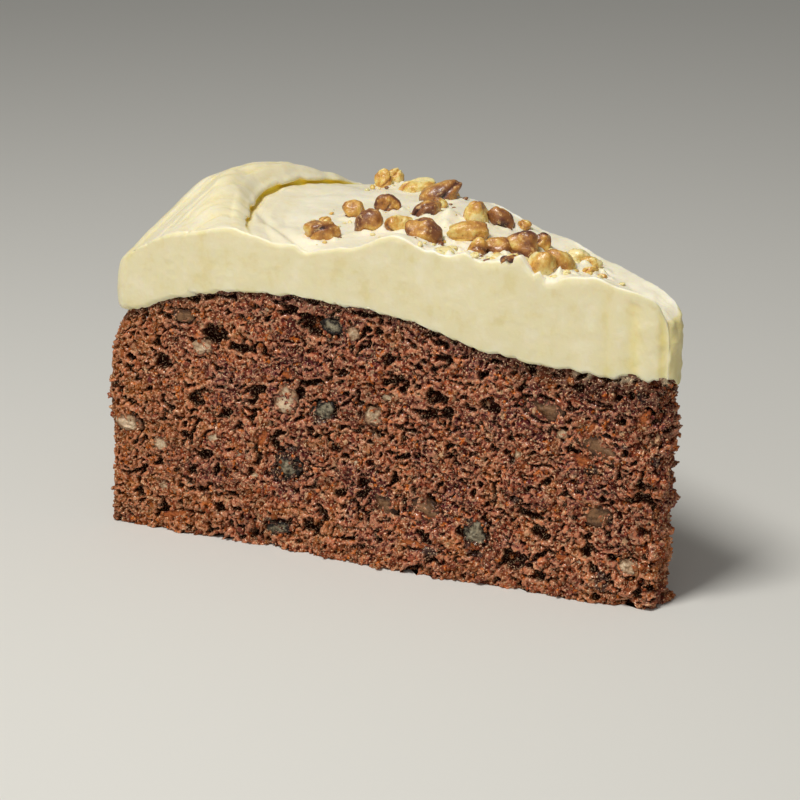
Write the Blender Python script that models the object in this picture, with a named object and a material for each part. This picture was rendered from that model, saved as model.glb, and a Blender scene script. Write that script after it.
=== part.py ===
"""A cut slice of carrot cake: a moist sponge with a crumbly cut, and one layer of cream cheese frosting
with a folded swirl at the rim and chopped roasted nuts pressed into its crown.

Lengths below are millimetres and are turned to metres when a mesh is made. The slice points along +X,
its tip end blunt, its curved rim at -X and its front cut facing -Y. The origin is on the floor, under
the middle of the slice.
"""

import math

import bmesh
import bpy
import numpy as np

MM = 0.001

# Cake: a tenth of a 23 cm round, cut a little off centre, so that the tip is blunt
CAKE_RADIUS = 115.0
HALF_ANGLE = math.radians(18)
TIP_WIDTH = 5.5
TIP_SKEW = 0.6
TIP_X = 57.9
RIM_WIDTH = 2 * CAKE_RADIUS * math.sin(HALF_ANGLE)
RIM_BOW = CAKE_RADIUS * (1 - math.cos(HALF_ANGLE))

# Sponge: its baked top is a low dome that falls to a round shoulder at the rim
SPONGE_EDGE = 44.3
DOME_RISE = 7.9
DOME_AT = 75.0
DOME_REACH = 33.0
DOME_POWER = 2.2
SHOULDER_AT = 99.0
SHOULDER_DROP = 2.6
SHOULDER_POWER = 1.15
SHOULDER_INSET = 4.0
SHOULDER_LENGTH = CAKE_RADIUS - SHOULDER_INSET
SHOULDER_LEVEL = 0.72
RIM_FOOT = 0.9
RIM_FOOT_LEVEL = 0.45
SPONGE_TIP_UNDERCUT = 2.3
TIP_UNDERCUT_POWER = 1.2
SPONGE_CORNER = 1.8

# Small swells of the dome: distance from the centre, reach, height
SWELLS = ((50.0, 8.0, 0.9), (24.0, 7.0, -0.4))

# The front cut flares out a little at its foot, most at one distance from the cake's centre
FLARE = 2.4
FLARE_AT = 33.0
FLARE_REACH = 34.0
FLARE_HEIGHT = 9.0

# Frosting: one layer with a bulging rim, on the sponge with a thin gap
FROSTING_GAP = 0.3
FROSTING_LEVEL = 61.5
FROSTING_STEP = 0.9
FROSTING_STEP_FROM = 38.0
FROSTING_STEP_REACH = 22.0
FROSTING_LENGTH = 111.0
FROSTING_BULGE = 3.3
BULGE_SKEW = 0.75
BULGE_POWER = 2.6
FROSTING_CORNER = 3.6
FROSTING_TIP_CORNER = 2.2
FROSTING_TIP_ROUND = 1.3
TIP_ROUND_POWER = 6
RIM_FALL_FROM = 88.0
RIM_FALL = 4.6
RIM_FALL_REACH = 20.0
TIP_FALL = 4.5
TIP_FALL_REACH = 3.5
TIP_TILT = 2.8
TIP_TILT_REACH = 25.0
TIP_TILT_ANGLE = 20.0

# Swirl: an outer fold laps over the layer along a slanting crease, whose distance from the cake's
# centre grows with the angle from the middle of the slice
CREASE_AT = 100.8
CREASE_SLOPE_FRONT = 1.0
CREASE_SLOPE_BACK = 0.42
FOLD_LIP = 0.9
FOLD_RISE = 9.1
FOLD_WIDTH = 9.0
FOLD_WIDTH_SHARE = 0.8
FOLD_WIDTH_LEAST = 1.6
FOLD_ANGLE = 1.0
FOLD_REACH_FRONT = 13.0
FOLD_POWER_FRONT = 2.4
FOLD_REACH_BACK = 14.0
FOLD_POWER_BACK = 3
CREASE_DEPTH = 1.6
CREASE_WIDTH = 1.0

# Mounds and hollows of the top: distance from the centre, angle in degrees with the front cut at -18,
# reach along and across, and height
MOUNDS = (
    (55.0, 4.0, 13.0, 13.0, 3.2),
    (53.5, -17.0, 6.5, 6.0, 3.6),
    (86.0, -17.0, 7.0, 6.0, 1.3),
    (72.0, -17.0, 5.0, 5.0, -0.7),
    (66.0, 16.0, 11.0, 6.0, 1.3),
    (84.0, -9.0, 5.0, 5.0, -0.8),
    (40.0, -18.0, 2.6, 4.5, 1.7),
    (34.0, -17.0, 3.0, 5.0, 0.9),
    (29.2, -18.0, 2.2, 5.0, 2.2),
    (23.6, -18.0, 2.4, 5.0, -1.8),
    (15.0, -15.0, 4.5, 10.0, 1.0),
    (25.0, 16.0, 5.0, 6.0, -0.7),
)

# Crumb: lumps and holes of the cut faces, counted for each face
CRUMB_SEED = 7
CUT_LUMPS = 230
RIM_LUMPS = 90
TIP_LUMPS = 16
LUMP_SIZES = (1.3, 2.9)
LUMP_HEIGHTS = (-1.35, 0.6)
LUMPS_TOP = 47.0
RIM_LUMP_SHARE = 0.45
RELIEF_FADE = 0.1

# Fruit, nuts and large holes in the front cut: distance from the centre, height, radius, relief
FRONT_FEATURES = (
    (76.2, 17.0, 2.8, 0.7),
    (66.1, 46.3, 2.6, 0.5),
    (68.4, 29.2, 2.6, 0.5),
    (76.4, 30.5, 3.0, 0.8),
    (111.0, 21.3, 2.8, 0.7),
    (58.1, 29.3, 2.6, 0.5),
    (23.4, 35.5, 3.6, 0.5),
    (12.6, 29.6, 3.8, 0.7),
    (12.9, 16.1, 3.8, 0.6),
    (37.0, 9.3, 2.8, 0.6),
    (47.2, 12.4, 3.4, 0.5),
    (6.6, 7.3, 2.4, 0.8),
    (91.2, 41.8, 3.6, -1.8),
    (102.7, 34.9, 3.0, -1.5),
    (96.1, 28.0, 2.8, -1.4),
    (89.4, 25.8, 2.6, -1.2),
    (33.8, 34.7, 3.0, -1.5),
    (65.3, 22.2, 2.6, -1.2),
    (5.0, 20.0, 3.0, -1.6),
)

# Chopped nuts: distance from the centre, angle, length, depth, height, and lean in degrees
NUTS = (
    (94, 15.4, 3.6, 3, 5, 12),
    (95, 17.3, 3.6, 3, 4.6, -14),
    (74.2, 5.7, 4.9, 4.4, 4.6, 0),
    (85.6, 17, 8, 4.9, 3.8, 14),
    (71.2, 14.6, 9.2, 5.6, 4.9, 18),
    (59, 2.2, 6.4, 4.7, 4, 28),
    (72.2, -12.4, 7, 5.7, 4.6, 0),
    (76.2, 0.1, 5, 4.2, 4.6, 0),
    (65.6, -6.6, 6.2, 4.4, 5, 62),
    (59.5, -5.3, 5.8, 4.7, 4.5, 0),
    (51.6, -9.2, 7, 5.6, 5.2, -30),
    (50, 6.8, 5.1, 4.4, 5.2, 0),
    (47.6, 11.6, 6.6, 4.2, 4.4, -58),
    (45.9, -2.5, 8.6, 5.2, 4.2, 6),
    (40, -9.4, 4.8, 3, 3.6, 55),
    (38.1, -3.4, 5.6, 4.4, 3.8, 0),
    (34.5, 2, 6.6, 5.4, 5.8, -20),
    (34.9, 9.8, 4.6, 2.8, 3.4, 70),
    (26, -11.4, 5.4, 4.2, 4.8, 62),
    (24.4, -2.6, 6, 4.2, 4.8, -52),
    (27.4, 15.6, 4.8, 4, 3.6, -15),
    (23.6, 14.6, 4.4, 3.8, 3.6, 20),
    (23.8, 6.4, 3.2, 2.8, 2.6, 0),
    (46, 16.9, 3, 2.6, 2.2, -20),
    (20.4, 8, 3.2, 2.6, 2.2, 10),
    (64, 9, 3.6, 3.2, 3, 10),
)
NUT_TURN = math.radians(41.5)
NUT_SINK = 0.30
NUT_ROUGHNESS = 0.13
NUT_SEED = 11
NUT_SIDES = 9
NUT_RINGS = 5

# Grids of the two solids
SPONGE_STEPS_LONG = 44
SPONGE_STEPS_ACROSS = 14
SPONGE_ROWS = 17
FROSTING_STEPS_INNER = 26
FROSTING_STEPS_OUTER = 8
FROSTING_STEPS_ACROSS = 18
FROSTING_WALL = (0.0, 0.06, 0.25, 0.5, 0.75, 0.92, 1.0)
INNER_SPACING = 0.95
CREASE_SHARES = (0.84, 0.968)
CREASE_LINES = (-0.35, 0.35)

SHARP_ANGLE = math.radians(50)
SPONGE_COLOUR = (0.18, 0.07, 0.035)
SPONGE_ROUGHNESS = 0.85
FROSTING_COLOUR = (0.78, 0.67, 0.40)
FROSTING_ROUGHNESS = 0.5


def clear_scene():
    for item in list(bpy.data.objects):
        bpy.data.objects.remove(item, do_unlink=True)


def material(name, colour, roughness):
    """A plain Principled material in a linear colour."""
    made = bpy.data.materials.new(name)
    made.use_nodes = True
    shader = made.node_tree.nodes["Principled BSDF"]
    shader.inputs["Base Color"].default_value = (*colour, 1)
    shader.inputs["Roughness"].default_value = roughness
    shader.inputs["Metallic"].default_value = 0
    made.diffuse_color = (*colour, 1)
    return made


def bell(x, reach):
    """Bell curve of height 1: e^-(x / reach)^2."""
    return np.exp(-((x / reach) ** 2))


def round_corner(along, across, reach):
    """Maps a square corner to a round one. Its two distances run from 0 to reach, from the corner's
    inner lines."""
    a = np.clip(along / reach, 0, 1)
    b = np.clip(across / reach, 0, 1)
    shift_a = reach * a * (np.sqrt(1 - b * b / 2) - 1)
    shift_b = reach * b * (np.sqrt(1 - a * a / 2) - 1)
    return shift_a, shift_b


def plan(u, v, start, length, tip_corner, rim_corner):
    """Plan position in the slice: u runs from the tip to the rim and v from the front cut (-1) to the
    back cut (+1). Distance s along the slice is start + u (length - start). The two cuts are straight
    lines, the rim bows out by the cake's arc, and the four corners are rounded."""
    u, v, start, length = np.broadcast_arrays(u, v, start, length)
    s = start + u * (length - start)
    half = (TIP_WIDTH + (RIM_WIDTH - TIP_WIDTH) * s / CAKE_RADIUS) / 2
    side = np.abs(v) * half
    ds_rim, dq_rim = round_corner(s - (length - rim_corner), side - (half - rim_corner), rim_corner)
    ds_tip, dq_tip = round_corner(start + tip_corner - s, side - (half - tip_corner), tip_corner)
    s = s + ds_rim - ds_tip
    side = (side + dq_rim + dq_tip) * np.sign(v)
    across = (side / half + 1) / 2
    share = s / CAKE_RADIUS
    front_x = TIP_X - s * math.cos(HALF_ANGLE)
    front_y = -s * math.sin(HALF_ANGLE)
    back_x = TIP_X - TIP_SKEW - share * (CAKE_RADIUS * math.cos(HALF_ANGLE) - TIP_SKEW)
    back_y = TIP_WIDTH + share * (CAKE_RADIUS * math.sin(HALF_ANGLE) - TIP_WIDTH)
    x = front_x + across * (back_x - front_x) - RIM_BOW * 4 * across * (1 - across) * share**2
    y = front_y + across * (back_y - front_y)
    return x, y


def polar(x, y):
    """Distance from the cake's centre, and angle in degrees, negative on the front side."""
    return np.hypot(TIP_X - x, y), np.degrees(np.arctan2(y, TIP_X - x))


def sponge_top(x, y):
    """Height of the sponge: a bell-shaped dome on the edge height, less the fall to the shoulder."""
    r, _ = polar(x, y)
    dome = DOME_RISE * np.exp(-((np.abs(r - DOME_AT) / DOME_REACH) ** DOME_POWER))
    beyond = np.clip(r - SHOULDER_AT, 0, None) / (SHOULDER_LENGTH - SHOULDER_AT)
    swell = sum(height * bell(r - at, reach) for at, reach, height in SWELLS)
    return SPONGE_EDGE + dome + swell - SHOULDER_DROP * beyond**SHOULDER_POWER


def crease_radius(angle):
    """Distance of the swirl's crease from the centre, by angle."""
    slope = np.where(angle < 0, CREASE_SLOPE_FRONT, CREASE_SLOPE_BACK)
    return CREASE_AT + slope * angle


def fold_strength(angle):
    """How much of the outer fold there is at an angle: 1 at its middle, dying away to both cuts."""
    off = angle - FOLD_ANGLE
    front = np.exp(-((np.abs(off) / FOLD_REACH_FRONT) ** FOLD_POWER_FRONT))
    back = np.exp(-((np.abs(off) / FOLD_REACH_BACK) ** FOLD_POWER_BACK))
    return np.where(off < 0, front, back)


def frosting_top(x, y):
    """Height of the frosting: a level that falls at the rim and the tip, plus round mounds, plus the
    outer fold. Inside the crease the fall waits where the fold is strong; beyond it the fold steps up by
    a lip and then rises by t (3 - t^2) / 2."""
    r, angle = polar(x, y)
    level = FROSTING_LEVEL - FROSTING_STEP * np.clip((FROSTING_STEP_FROM - r) / FROSTING_STEP_REACH, 0, 1)
    strength = fold_strength(angle)
    crease = crease_radius(angle)
    beyond = r - crease
    room = FOLD_WIDTH_SHARE * (FROSTING_LENGTH - crease)
    rise = np.clip(beyond / np.clip(room, FOLD_WIDTH_LEAST, FOLD_WIDTH), 0, 1)
    rise = rise * (3 - rise**2) / 2
    rim = RIM_FALL * (np.clip(r - RIM_FALL_FROM, 0, None) / RIM_FALL_REACH) ** 2
    rim = rim * (1 - strength * (1 - rise))
    tip = TIP_FALL * np.exp(-r / TIP_FALL_REACH)
    to_back = np.clip((angle / TIP_TILT_ANGLE + 1) / 2, 0, 1)
    tilt = TIP_TILT * bell(r, TIP_TILT_REACH) * to_back * to_back * (3 - 2 * to_back)
    z = level - rim - tip - tilt
    for at, turn, along, across, height in MOUNDS:
        z = z + height * bell(r - at, along) * bell(angle - turn, across)
    fold = np.where(beyond > 0, FOLD_LIP + FOLD_RISE * rise, 0)
    return z + strength * (fold - CREASE_DEPTH * bell(beyond, CREASE_WIDTH))


def border(across, long):
    """Grid indices of the border, going round against the clock as seen from above."""
    front = [(i, 0) for i in range(long, 0, -1)]
    tip = [(0, j) for j in range(across)]
    back = [(i, across) for i in range(long)]
    rim = [(long, j) for j in range(across, 0, -1)]
    return np.array(front + tip + back + rim)


def closed_mesh(name, top, rows, base):
    """A closed mesh from a top grid (long, across, 3), wall rows below it (row, border, 3), listed
    upwards and ending under the top's border, and a base, which is a grid like the top or None for one
    flat face."""
    long, across = top.shape[0] - 1, top.shape[1] - 1
    edge = border(across, long)
    points = [top.reshape(-1, 3)]
    index = np.arange(top.shape[0] * top.shape[1]).reshape(top.shape[:2])
    count = index.size
    faces = []
    for i in range(long):
        for j in range(across):
            faces.append((index[i, j], index[i, j + 1], index[i + 1, j + 1], index[i + 1, j]))
    loops = []
    if base is not None:
        base_index = index + count
        points.append(base.reshape(-1, 3))
        count += index.size
        for i in range(long):
            for j in range(across):
                near = (base_index[i, j], base_index[i + 1, j])
                faces.append(near + (base_index[i + 1, j + 1], base_index[i, j + 1]))
        loops.append(base_index[edge[:, 0], edge[:, 1]])
    for row in rows:
        loops.append(np.arange(count, count + len(row)))
        points.append(row)
        count += len(row)
    loops.append(index[edge[:, 0], edge[:, 1]])
    for low, high in zip(loops, loops[1:]):
        for k in range(len(low)):
            n = (k + 1) % len(low)
            faces.append((low[k], low[n], high[n], high[k]))
    if base is None:
        faces.append(tuple(loops[0][::-1]))
    mesh = bpy.data.meshes.new(name)
    mesh.from_pydata((np.concatenate(points) * MM).tolist(), [], [tuple(int(i) for i in f) for f in faces])
    mesh.validate()
    return mesh


def outward(row):
    """Outward normals of a closed row of points, from its neighbours' direction."""
    ahead = np.roll(row, -1, axis=0) - np.roll(row, 1, axis=0)
    normal = np.stack([ahead[:, 1], -ahead[:, 0]], axis=1)
    return normal / np.linalg.norm(normal, axis=1, keepdims=True)


def crumb_relief(run, z, face_of, random):
    """Relief of the cut, along its normal: round lumps and holes at random places of each face, and the
    fruit, nuts and large holes of the front. run is the distance along the face, z the height."""
    relief = np.zeros_like(z)
    faces = (
        ("front", CUT_LUMPS, CAKE_RADIUS),
        ("back", CUT_LUMPS, CAKE_RADIUS),
        ("rim", RIM_LUMPS, RIM_WIDTH),
        ("tip", TIP_LUMPS, TIP_WIDTH),
    )
    for face, count, reach in faces:
        on_face = face_of == face
        for _ in range(count):
            at, height = random.uniform(0, reach), random.uniform(0, LUMPS_TOP)
            size = random.uniform(*LUMP_SIZES)
            lump = random.uniform(*LUMP_HEIGHTS) * (RIM_LUMP_SHARE if face == "rim" else 1)
            near = ((run - at) ** 2 + (z - height) ** 2) / size**2
            relief += np.where(on_face, lump * np.exp(-near), 0)
    for at, height, size, lump in FRONT_FEATURES:
        near = ((run - at) ** 2 + (z - height) ** 2) / size**2
        relief += np.where(face_of == "front", lump * np.exp(-near), 0)
    foot = bell(z, FLARE_HEIGHT) * np.exp(-(np.abs((run - FLARE_AT) / FLARE_REACH) ** 3))
    return relief + np.where(face_of == "front", FLARE * foot, 0)


def make_sponge():
    """The sponge: flat base, domed top, walls that round over at the rim, with the crumb's relief."""
    u = np.linspace(0, 1, SPONGE_STEPS_LONG + 1)
    v = np.linspace(-1, 1, SPONGE_STEPS_ACROSS + 1)
    grid_u, grid_v = np.meshgrid(u, v, indexing="ij")
    x, y = plan(grid_u, grid_v, 0.0, SHOULDER_LENGTH, SPONGE_CORNER, SPONGE_CORNER)
    top = np.stack([x, y, sponge_top(x, y)], axis=-1)
    edge = border(SPONGE_STEPS_ACROSS, SPONGE_STEPS_LONG)
    edge_u, edge_v = u[edge[:, 0]], v[edge[:, 1]]
    height = top[edge[:, 0], edge[:, 1], 2]
    face_of = np.where(edge[:, 1] == 0, "front", "rim")
    face_of = np.where(edge[:, 1] == SPONGE_STEPS_ACROSS, "back", face_of)
    at_tip = (edge[:, 0] == 0) & (edge[:, 1] > 0) & (edge[:, 1] < SPONGE_STEPS_ACROSS)
    face_of = np.where(at_tip, "tip", face_of)
    random = np.random.default_rng(CRUMB_SEED)
    levels = np.arange(SPONGE_ROWS) / SPONGE_ROWS
    rows = []
    for level in levels:
        inset = SHOULDER_INSET * max(0.0, (level - SHOULDER_LEVEL) / (1 - SHOULDER_LEVEL)) ** 2
        foot = RIM_FOOT * max(0.0, 1 - level / RIM_FOOT_LEVEL)
        start = SPONGE_TIP_UNDERCUT * (1 - level) ** TIP_UNDERCUT_POWER
        length = CAKE_RADIUS - inset + foot
        row_x, row_y = plan(edge_u, edge_v, start, length, SPONGE_CORNER, SPONGE_CORNER)
        rows.append(np.stack([row_x, row_y, level * height], axis=1))
    rows = np.array(rows)
    run = np.where(np.isin(face_of, ("front", "back")), edge_u * CAKE_RADIUS, (edge_v + 1) * RIM_WIDTH / 2)
    run = np.where(face_of == "tip", (edge_v + 1) * TIP_WIDTH / 2, run)
    relief = crumb_relief(run[None, :], rows[:, :, 2], face_of[None, :], random)
    fade = np.clip((1 - levels) / RELIEF_FADE, 0, 1)[:, None]
    for row, amount in zip(rows, relief * fade):
        row[:, :2] += outward(row[:, :2]) * amount[:, None]
    sponge = bpy.data.objects.new("sponge", closed_mesh("sponge", top, rows, None))
    bpy.context.scene.collection.objects.link(sponge)
    sponge.data.materials.append(material("carrot sponge", SPONGE_COLOUR, SPONGE_ROUGHNESS))
    return sponge


def make_frosting():
    """The frosting: its underside follows the sponge, its rim bulges, its top is the swirled surface. The
    grid's lines gather at the crease, so that the fold stays crisp."""
    v = np.linspace(-1, 1, FROSTING_STEPS_ACROSS + 1)
    inner = np.linspace(0, 1, FROSTING_STEPS_INNER + 1)
    outer = np.linspace(0, 1, FROSTING_STEPS_OUTER + 1)[1:]
    crease_u = crease_radius(v * np.degrees(HALF_ANGLE)) / FROSTING_LENGTH
    crease_u = np.clip(crease_u, *CREASE_SHARES)[None, :]
    margin = CREASE_WIDTH / FROSTING_LENGTH
    before = (crease_u - margin) * inner[:, None] ** INNER_SPACING
    middle = crease_u + np.array(CREASE_LINES)[:, None] * margin
    after = crease_u + margin + (1 - crease_u - margin) * outer[:, None]
    grid_u = np.concatenate([before, middle, after])
    grid_v = np.broadcast_to(v[None, :], grid_u.shape)
    long = len(grid_u) - 1
    start = FROSTING_TIP_ROUND
    x, y = plan(grid_u, grid_v, start, FROSTING_LENGTH, FROSTING_TIP_CORNER, FROSTING_CORNER)
    top = np.stack([x, y, frosting_top(x, y)], axis=-1)
    x, y = plan(grid_u, grid_v, 0.0, FROSTING_LENGTH, FROSTING_TIP_CORNER, FROSTING_CORNER)
    base = np.stack([x, y, sponge_top(x, y) + FROSTING_GAP], axis=-1)
    edge = border(FROSTING_STEPS_ACROSS, long)
    edge_u = grid_u[edge[:, 0], edge[:, 1]]
    edge_v = v[edge[:, 1]]
    low = base[edge[:, 0], edge[:, 1], 2]
    high = top[edge[:, 0], edge[:, 1], 2]
    rows = []
    for level in FROSTING_WALL[1:-1]:
        swell = (1 - abs(2 * level**BULGE_SKEW - 1) ** BULGE_POWER) ** (1 / BULGE_POWER)
        length = FROSTING_LENGTH + FROSTING_BULGE * swell
        start = FROSTING_TIP_ROUND * level**TIP_ROUND_POWER
        row_x, row_y = plan(edge_u, edge_v, start, length, FROSTING_TIP_CORNER, FROSTING_CORNER)
        rows.append(np.stack([row_x, row_y, low + level * (high - low)], axis=1))
    frosting = bpy.data.objects.new("frosting", closed_mesh("frosting", top, rows, base))
    bpy.context.scene.collection.objects.link(frosting)
    frosting.data.materials.append(material("cream cheese frosting", FROSTING_COLOUR, FROSTING_ROUGHNESS))
    return frosting


def make_nut(number, size, place, lean, random):
    """One chopped nut: a ball with uneven, slightly flattened sides, scaled to its three sizes, leaned
    and turned."""
    shape = bmesh.new()
    bmesh.ops.create_uvsphere(shape, u_segments=NUT_SIDES, v_segments=NUT_RINGS, radius=0.5)
    for vertex in shape.verts:
        vertex.co *= 1 + random.uniform(-NUT_ROUGHNESS, NUT_ROUGHNESS)
    bmesh.ops.scale(shape, verts=shape.verts, vec=[side * MM for side in size])
    mesh = bpy.data.meshes.new(f"nut_{number}")
    bmesh.ops.triangulate(shape, faces=shape.faces)
    shape.to_mesh(mesh)
    shape.free()
    nut = bpy.data.objects.new(f"nut_{number}", mesh)
    nut.location = [value * MM for value in place]
    nut.rotation_euler = (0, -math.radians(lean), NUT_TURN)
    return nut


def add_nuts(frosting):
    """Presses the chopped nuts into the frosting and joins them to it as one solid."""
    random = np.random.default_rng(NUT_SEED)
    nuts = bpy.data.collections.new("nuts")
    bpy.context.scene.collection.children.link(nuts)
    for number, (r, angle, length, depth, height, lean) in enumerate(NUTS):
        x = TIP_X - r * math.cos(math.radians(angle))
        y = r * math.sin(math.radians(angle))
        z = float(frosting_top(np.array(x), np.array(y))) + (0.5 - NUT_SINK) * height
        nuts.objects.link(make_nut(number, (length, depth, height), (x, y, z), lean, random))
    union = frosting.modifiers.new("nuts", "BOOLEAN")
    union.operation = "UNION"
    union.operand_type = "COLLECTION"
    union.collection = nuts
    union.solver = "EXACT"
    evaluated = frosting.evaluated_get(bpy.context.evaluated_depsgraph_get())
    joined = bpy.data.meshes.new_from_object(evaluated)
    frosting.modifiers.clear()
    frosting.data = joined
    for nut in list(nuts.objects):
        bpy.data.objects.remove(nut, do_unlink=True)
    bpy.data.collections.remove(nuts)


def shade(item):
    item.data.shade_smooth()
    item.data.set_sharp_from_angle(angle=SHARP_ANGLE)


clear_scene()
sponge = make_sponge()
frosting = make_frosting()
add_nuts(frosting)
for solid in (sponge, frosting):
    shade(solid)
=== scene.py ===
"""The looks of a cut slice of carrot cake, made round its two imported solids.

Lengths are millimetres and are turned to metres when a mesh is made. The slice points along +X, its
curved rim is at -X, its front cut faces -Y, and it stands on the floor at height 0.
"""

import math

import bpy
import numpy as np
from mathutils import Matrix, Vector


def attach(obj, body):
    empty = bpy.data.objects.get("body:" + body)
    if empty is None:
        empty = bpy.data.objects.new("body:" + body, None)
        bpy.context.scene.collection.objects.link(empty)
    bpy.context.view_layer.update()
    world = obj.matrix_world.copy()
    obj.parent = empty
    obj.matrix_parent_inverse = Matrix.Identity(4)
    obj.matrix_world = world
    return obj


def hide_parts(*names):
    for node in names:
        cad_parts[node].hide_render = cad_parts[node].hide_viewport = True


MM = 0.001

# The slice, as its solids have it
CAKE_RADIUS = 115.0
HALF_ANGLE = math.radians(18)
TIP_WIDTH = 5.5
TIP_SKEW = 0.6
TIP_X = 57.9
RIM_WIDTH = 2 * CAKE_RADIUS * math.sin(HALF_ANGLE)
RIM_BOW = CAKE_RADIUS * (1 - math.cos(HALF_ANGLE))

# Sponge
SPONGE_EDGE = 44.3
DOME_RISE = 7.9
DOME_AT = 75.0
DOME_REACH = 33.0
DOME_POWER = 2.2
# Low swells of its top: distance from the centre, reach, height
SWELLS = ((50.0, 8.0, 0.9), (24.0, 7.0, -0.4))
SHOULDER_AT = 99.0
SHOULDER_DROP = 2.6
SHOULDER_POWER = 1.15
SHOULDER_INSET = 4.0
SHOULDER_LEVEL = 0.72
SHOULDER_LENGTH = CAKE_RADIUS - SHOULDER_INSET
RIM_FOOT = 0.9
RIM_FOOT_LEVEL = 0.45
SPONGE_TIP_UNDERCUT = 2.3
TIP_UNDERCUT_POWER = 1.2
SPONGE_CORNER = 1.8
FLARE = 2.4
FLARE_AT = 33.0
FLARE_REACH = 34.0
FLARE_HEIGHT = 9.0
# Point inside the slice where hidden faces meet
AXIS_X = -18.0
AXIS_Y = 0.5

# Frosting
FROSTING_LEVEL = 61.5
FROSTING_STEP = 0.9
STEP_FROM = 38.0
STEP_REACH = 22.0
FROSTING_LENGTH = 111.0
FROSTING_BULGE = 2.64
BULGE_SKEW = 0.6
BULGE_POWER = 2.4
FROSTING_CORNER = 3.6
FROSTING_TIP_CORNER = 2.2
FROSTING_TIP_ROUND = 1.3
FROSTING_PROUD = 0.3
FROSTING_SEAT = 0.5
# Streaks of the knife by the tip: strength, distance along the border, width
KNIFE_STREAKS = ((0.8, 6.6, 1.3), (1.0, 1.0, 0.9), (0.3, 11.5, 0.9))
# Edge of one stroke of the spatula
STROKE_AT = 91.0
STROKE_FROM = -7.0
STROKE_SLOPE = 1.8
RIM_FALL_FROM = 88.0
RIM_FALL_REACH = 20.0
RIM_FALL = 4.6
TIP_FALL = 4.5
TIP_FALL_REACH = 3.5
TIP_TILT = 2.8
TIP_TILT_REACH = 25.0
TIP_TILT_ANGLE = 20.0
CREASE_AT = 100.8
CREASE_SLOPE_FRONT = 1.0
CREASE_SLOPE_BACK = 0.42
CREASE_SHARES = (0.84, 0.968)
# Band of close grid lines before and beyond the crease
LINES_BEFORE = 2.2
LINES_BEYOND = 3.4
FOLD_LIP = 0.9
LIP_WIDTH = 0.6
FOLD_RISE = 9.1
FOLD_RISE_POWER = 1.25
FOLD_WIDTH = 9.0
FOLD_WIDTH_SHARE = 0.8
FOLD_ANGLE = 1.0
FOLD_REACH_FRONT = 13.0
FOLD_POWER_FRONT = 2.4
FOLD_REACH_BACK = 14.0
FOLD_POWER_BACK = 3.0
CREASE_DEPTH = 1.5
CREASE_WIDTH = 0.5
# Slit under the fold's lip: place along the grid, place across the slit, height
SLIT = (
    (-1.2, -1.2, 0.0),
    (-0.4, -0.35, -0.05),
    (0.1, 0.35, -0.2),
    (0.5, 0.65, -0.05),
    (0.8, 0.7, 0.35),
    (1.1, 0.4, 0.65),
    (1.45, 0.0, 0.8),
    (1.75, -0.15, 1.1),
    (2.1, 0.1, 1.6),
    (2.6, 1.2, 2.3),
    (4.0, 4.0, 5.2),
)

# Mounds and hollows of the top: distance from the centre, angle in degrees with the front cut at -18,
# reach along and across, and height
MOUNDS = (
    (55.0, 4.0, 13.0, 13.0, 3.2),
    (53.5, -17.0, 6.5, 6.0, 3.6),
    (86.0, -17.0, 7.0, 6.0, 1.3),
    (72.0, -17.0, 5.0, 5.0, -0.7),
    (66.0, 16.0, 11.0, 6.0, 1.3),
    (84.0, -9.0, 5.0, 5.0, -0.8),
    (40.0, -18.0, 2.6, 4.5, 1.7),
    (34.0, -17.0, 3.0, 5.0, 0.9),
    (29.2, -18.0, 2.2, 5.0, 2.2),
    (23.6, -18.0, 2.4, 5.0, -1.8),
    (15.0, -15.0, 4.5, 10.0, 1.0),
    (25.0, 16.0, 5.0, 6.0, -0.7),
    (53.6, 2.2, 1.5, 2.2, 1.7),
    (51.8, -1.2, 1.1, 1.5, 1.1),
    (106.0, 2.5, 6.0, 5.0, 1.2),
    (108.0, -7.5, 5.0, 3.5, -1.0),
    (109.0, -17.0, 5.0, 5.0, -1.4),
    (5.0, 75.0, 3.0, 35.0, -1.6),
)

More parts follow.
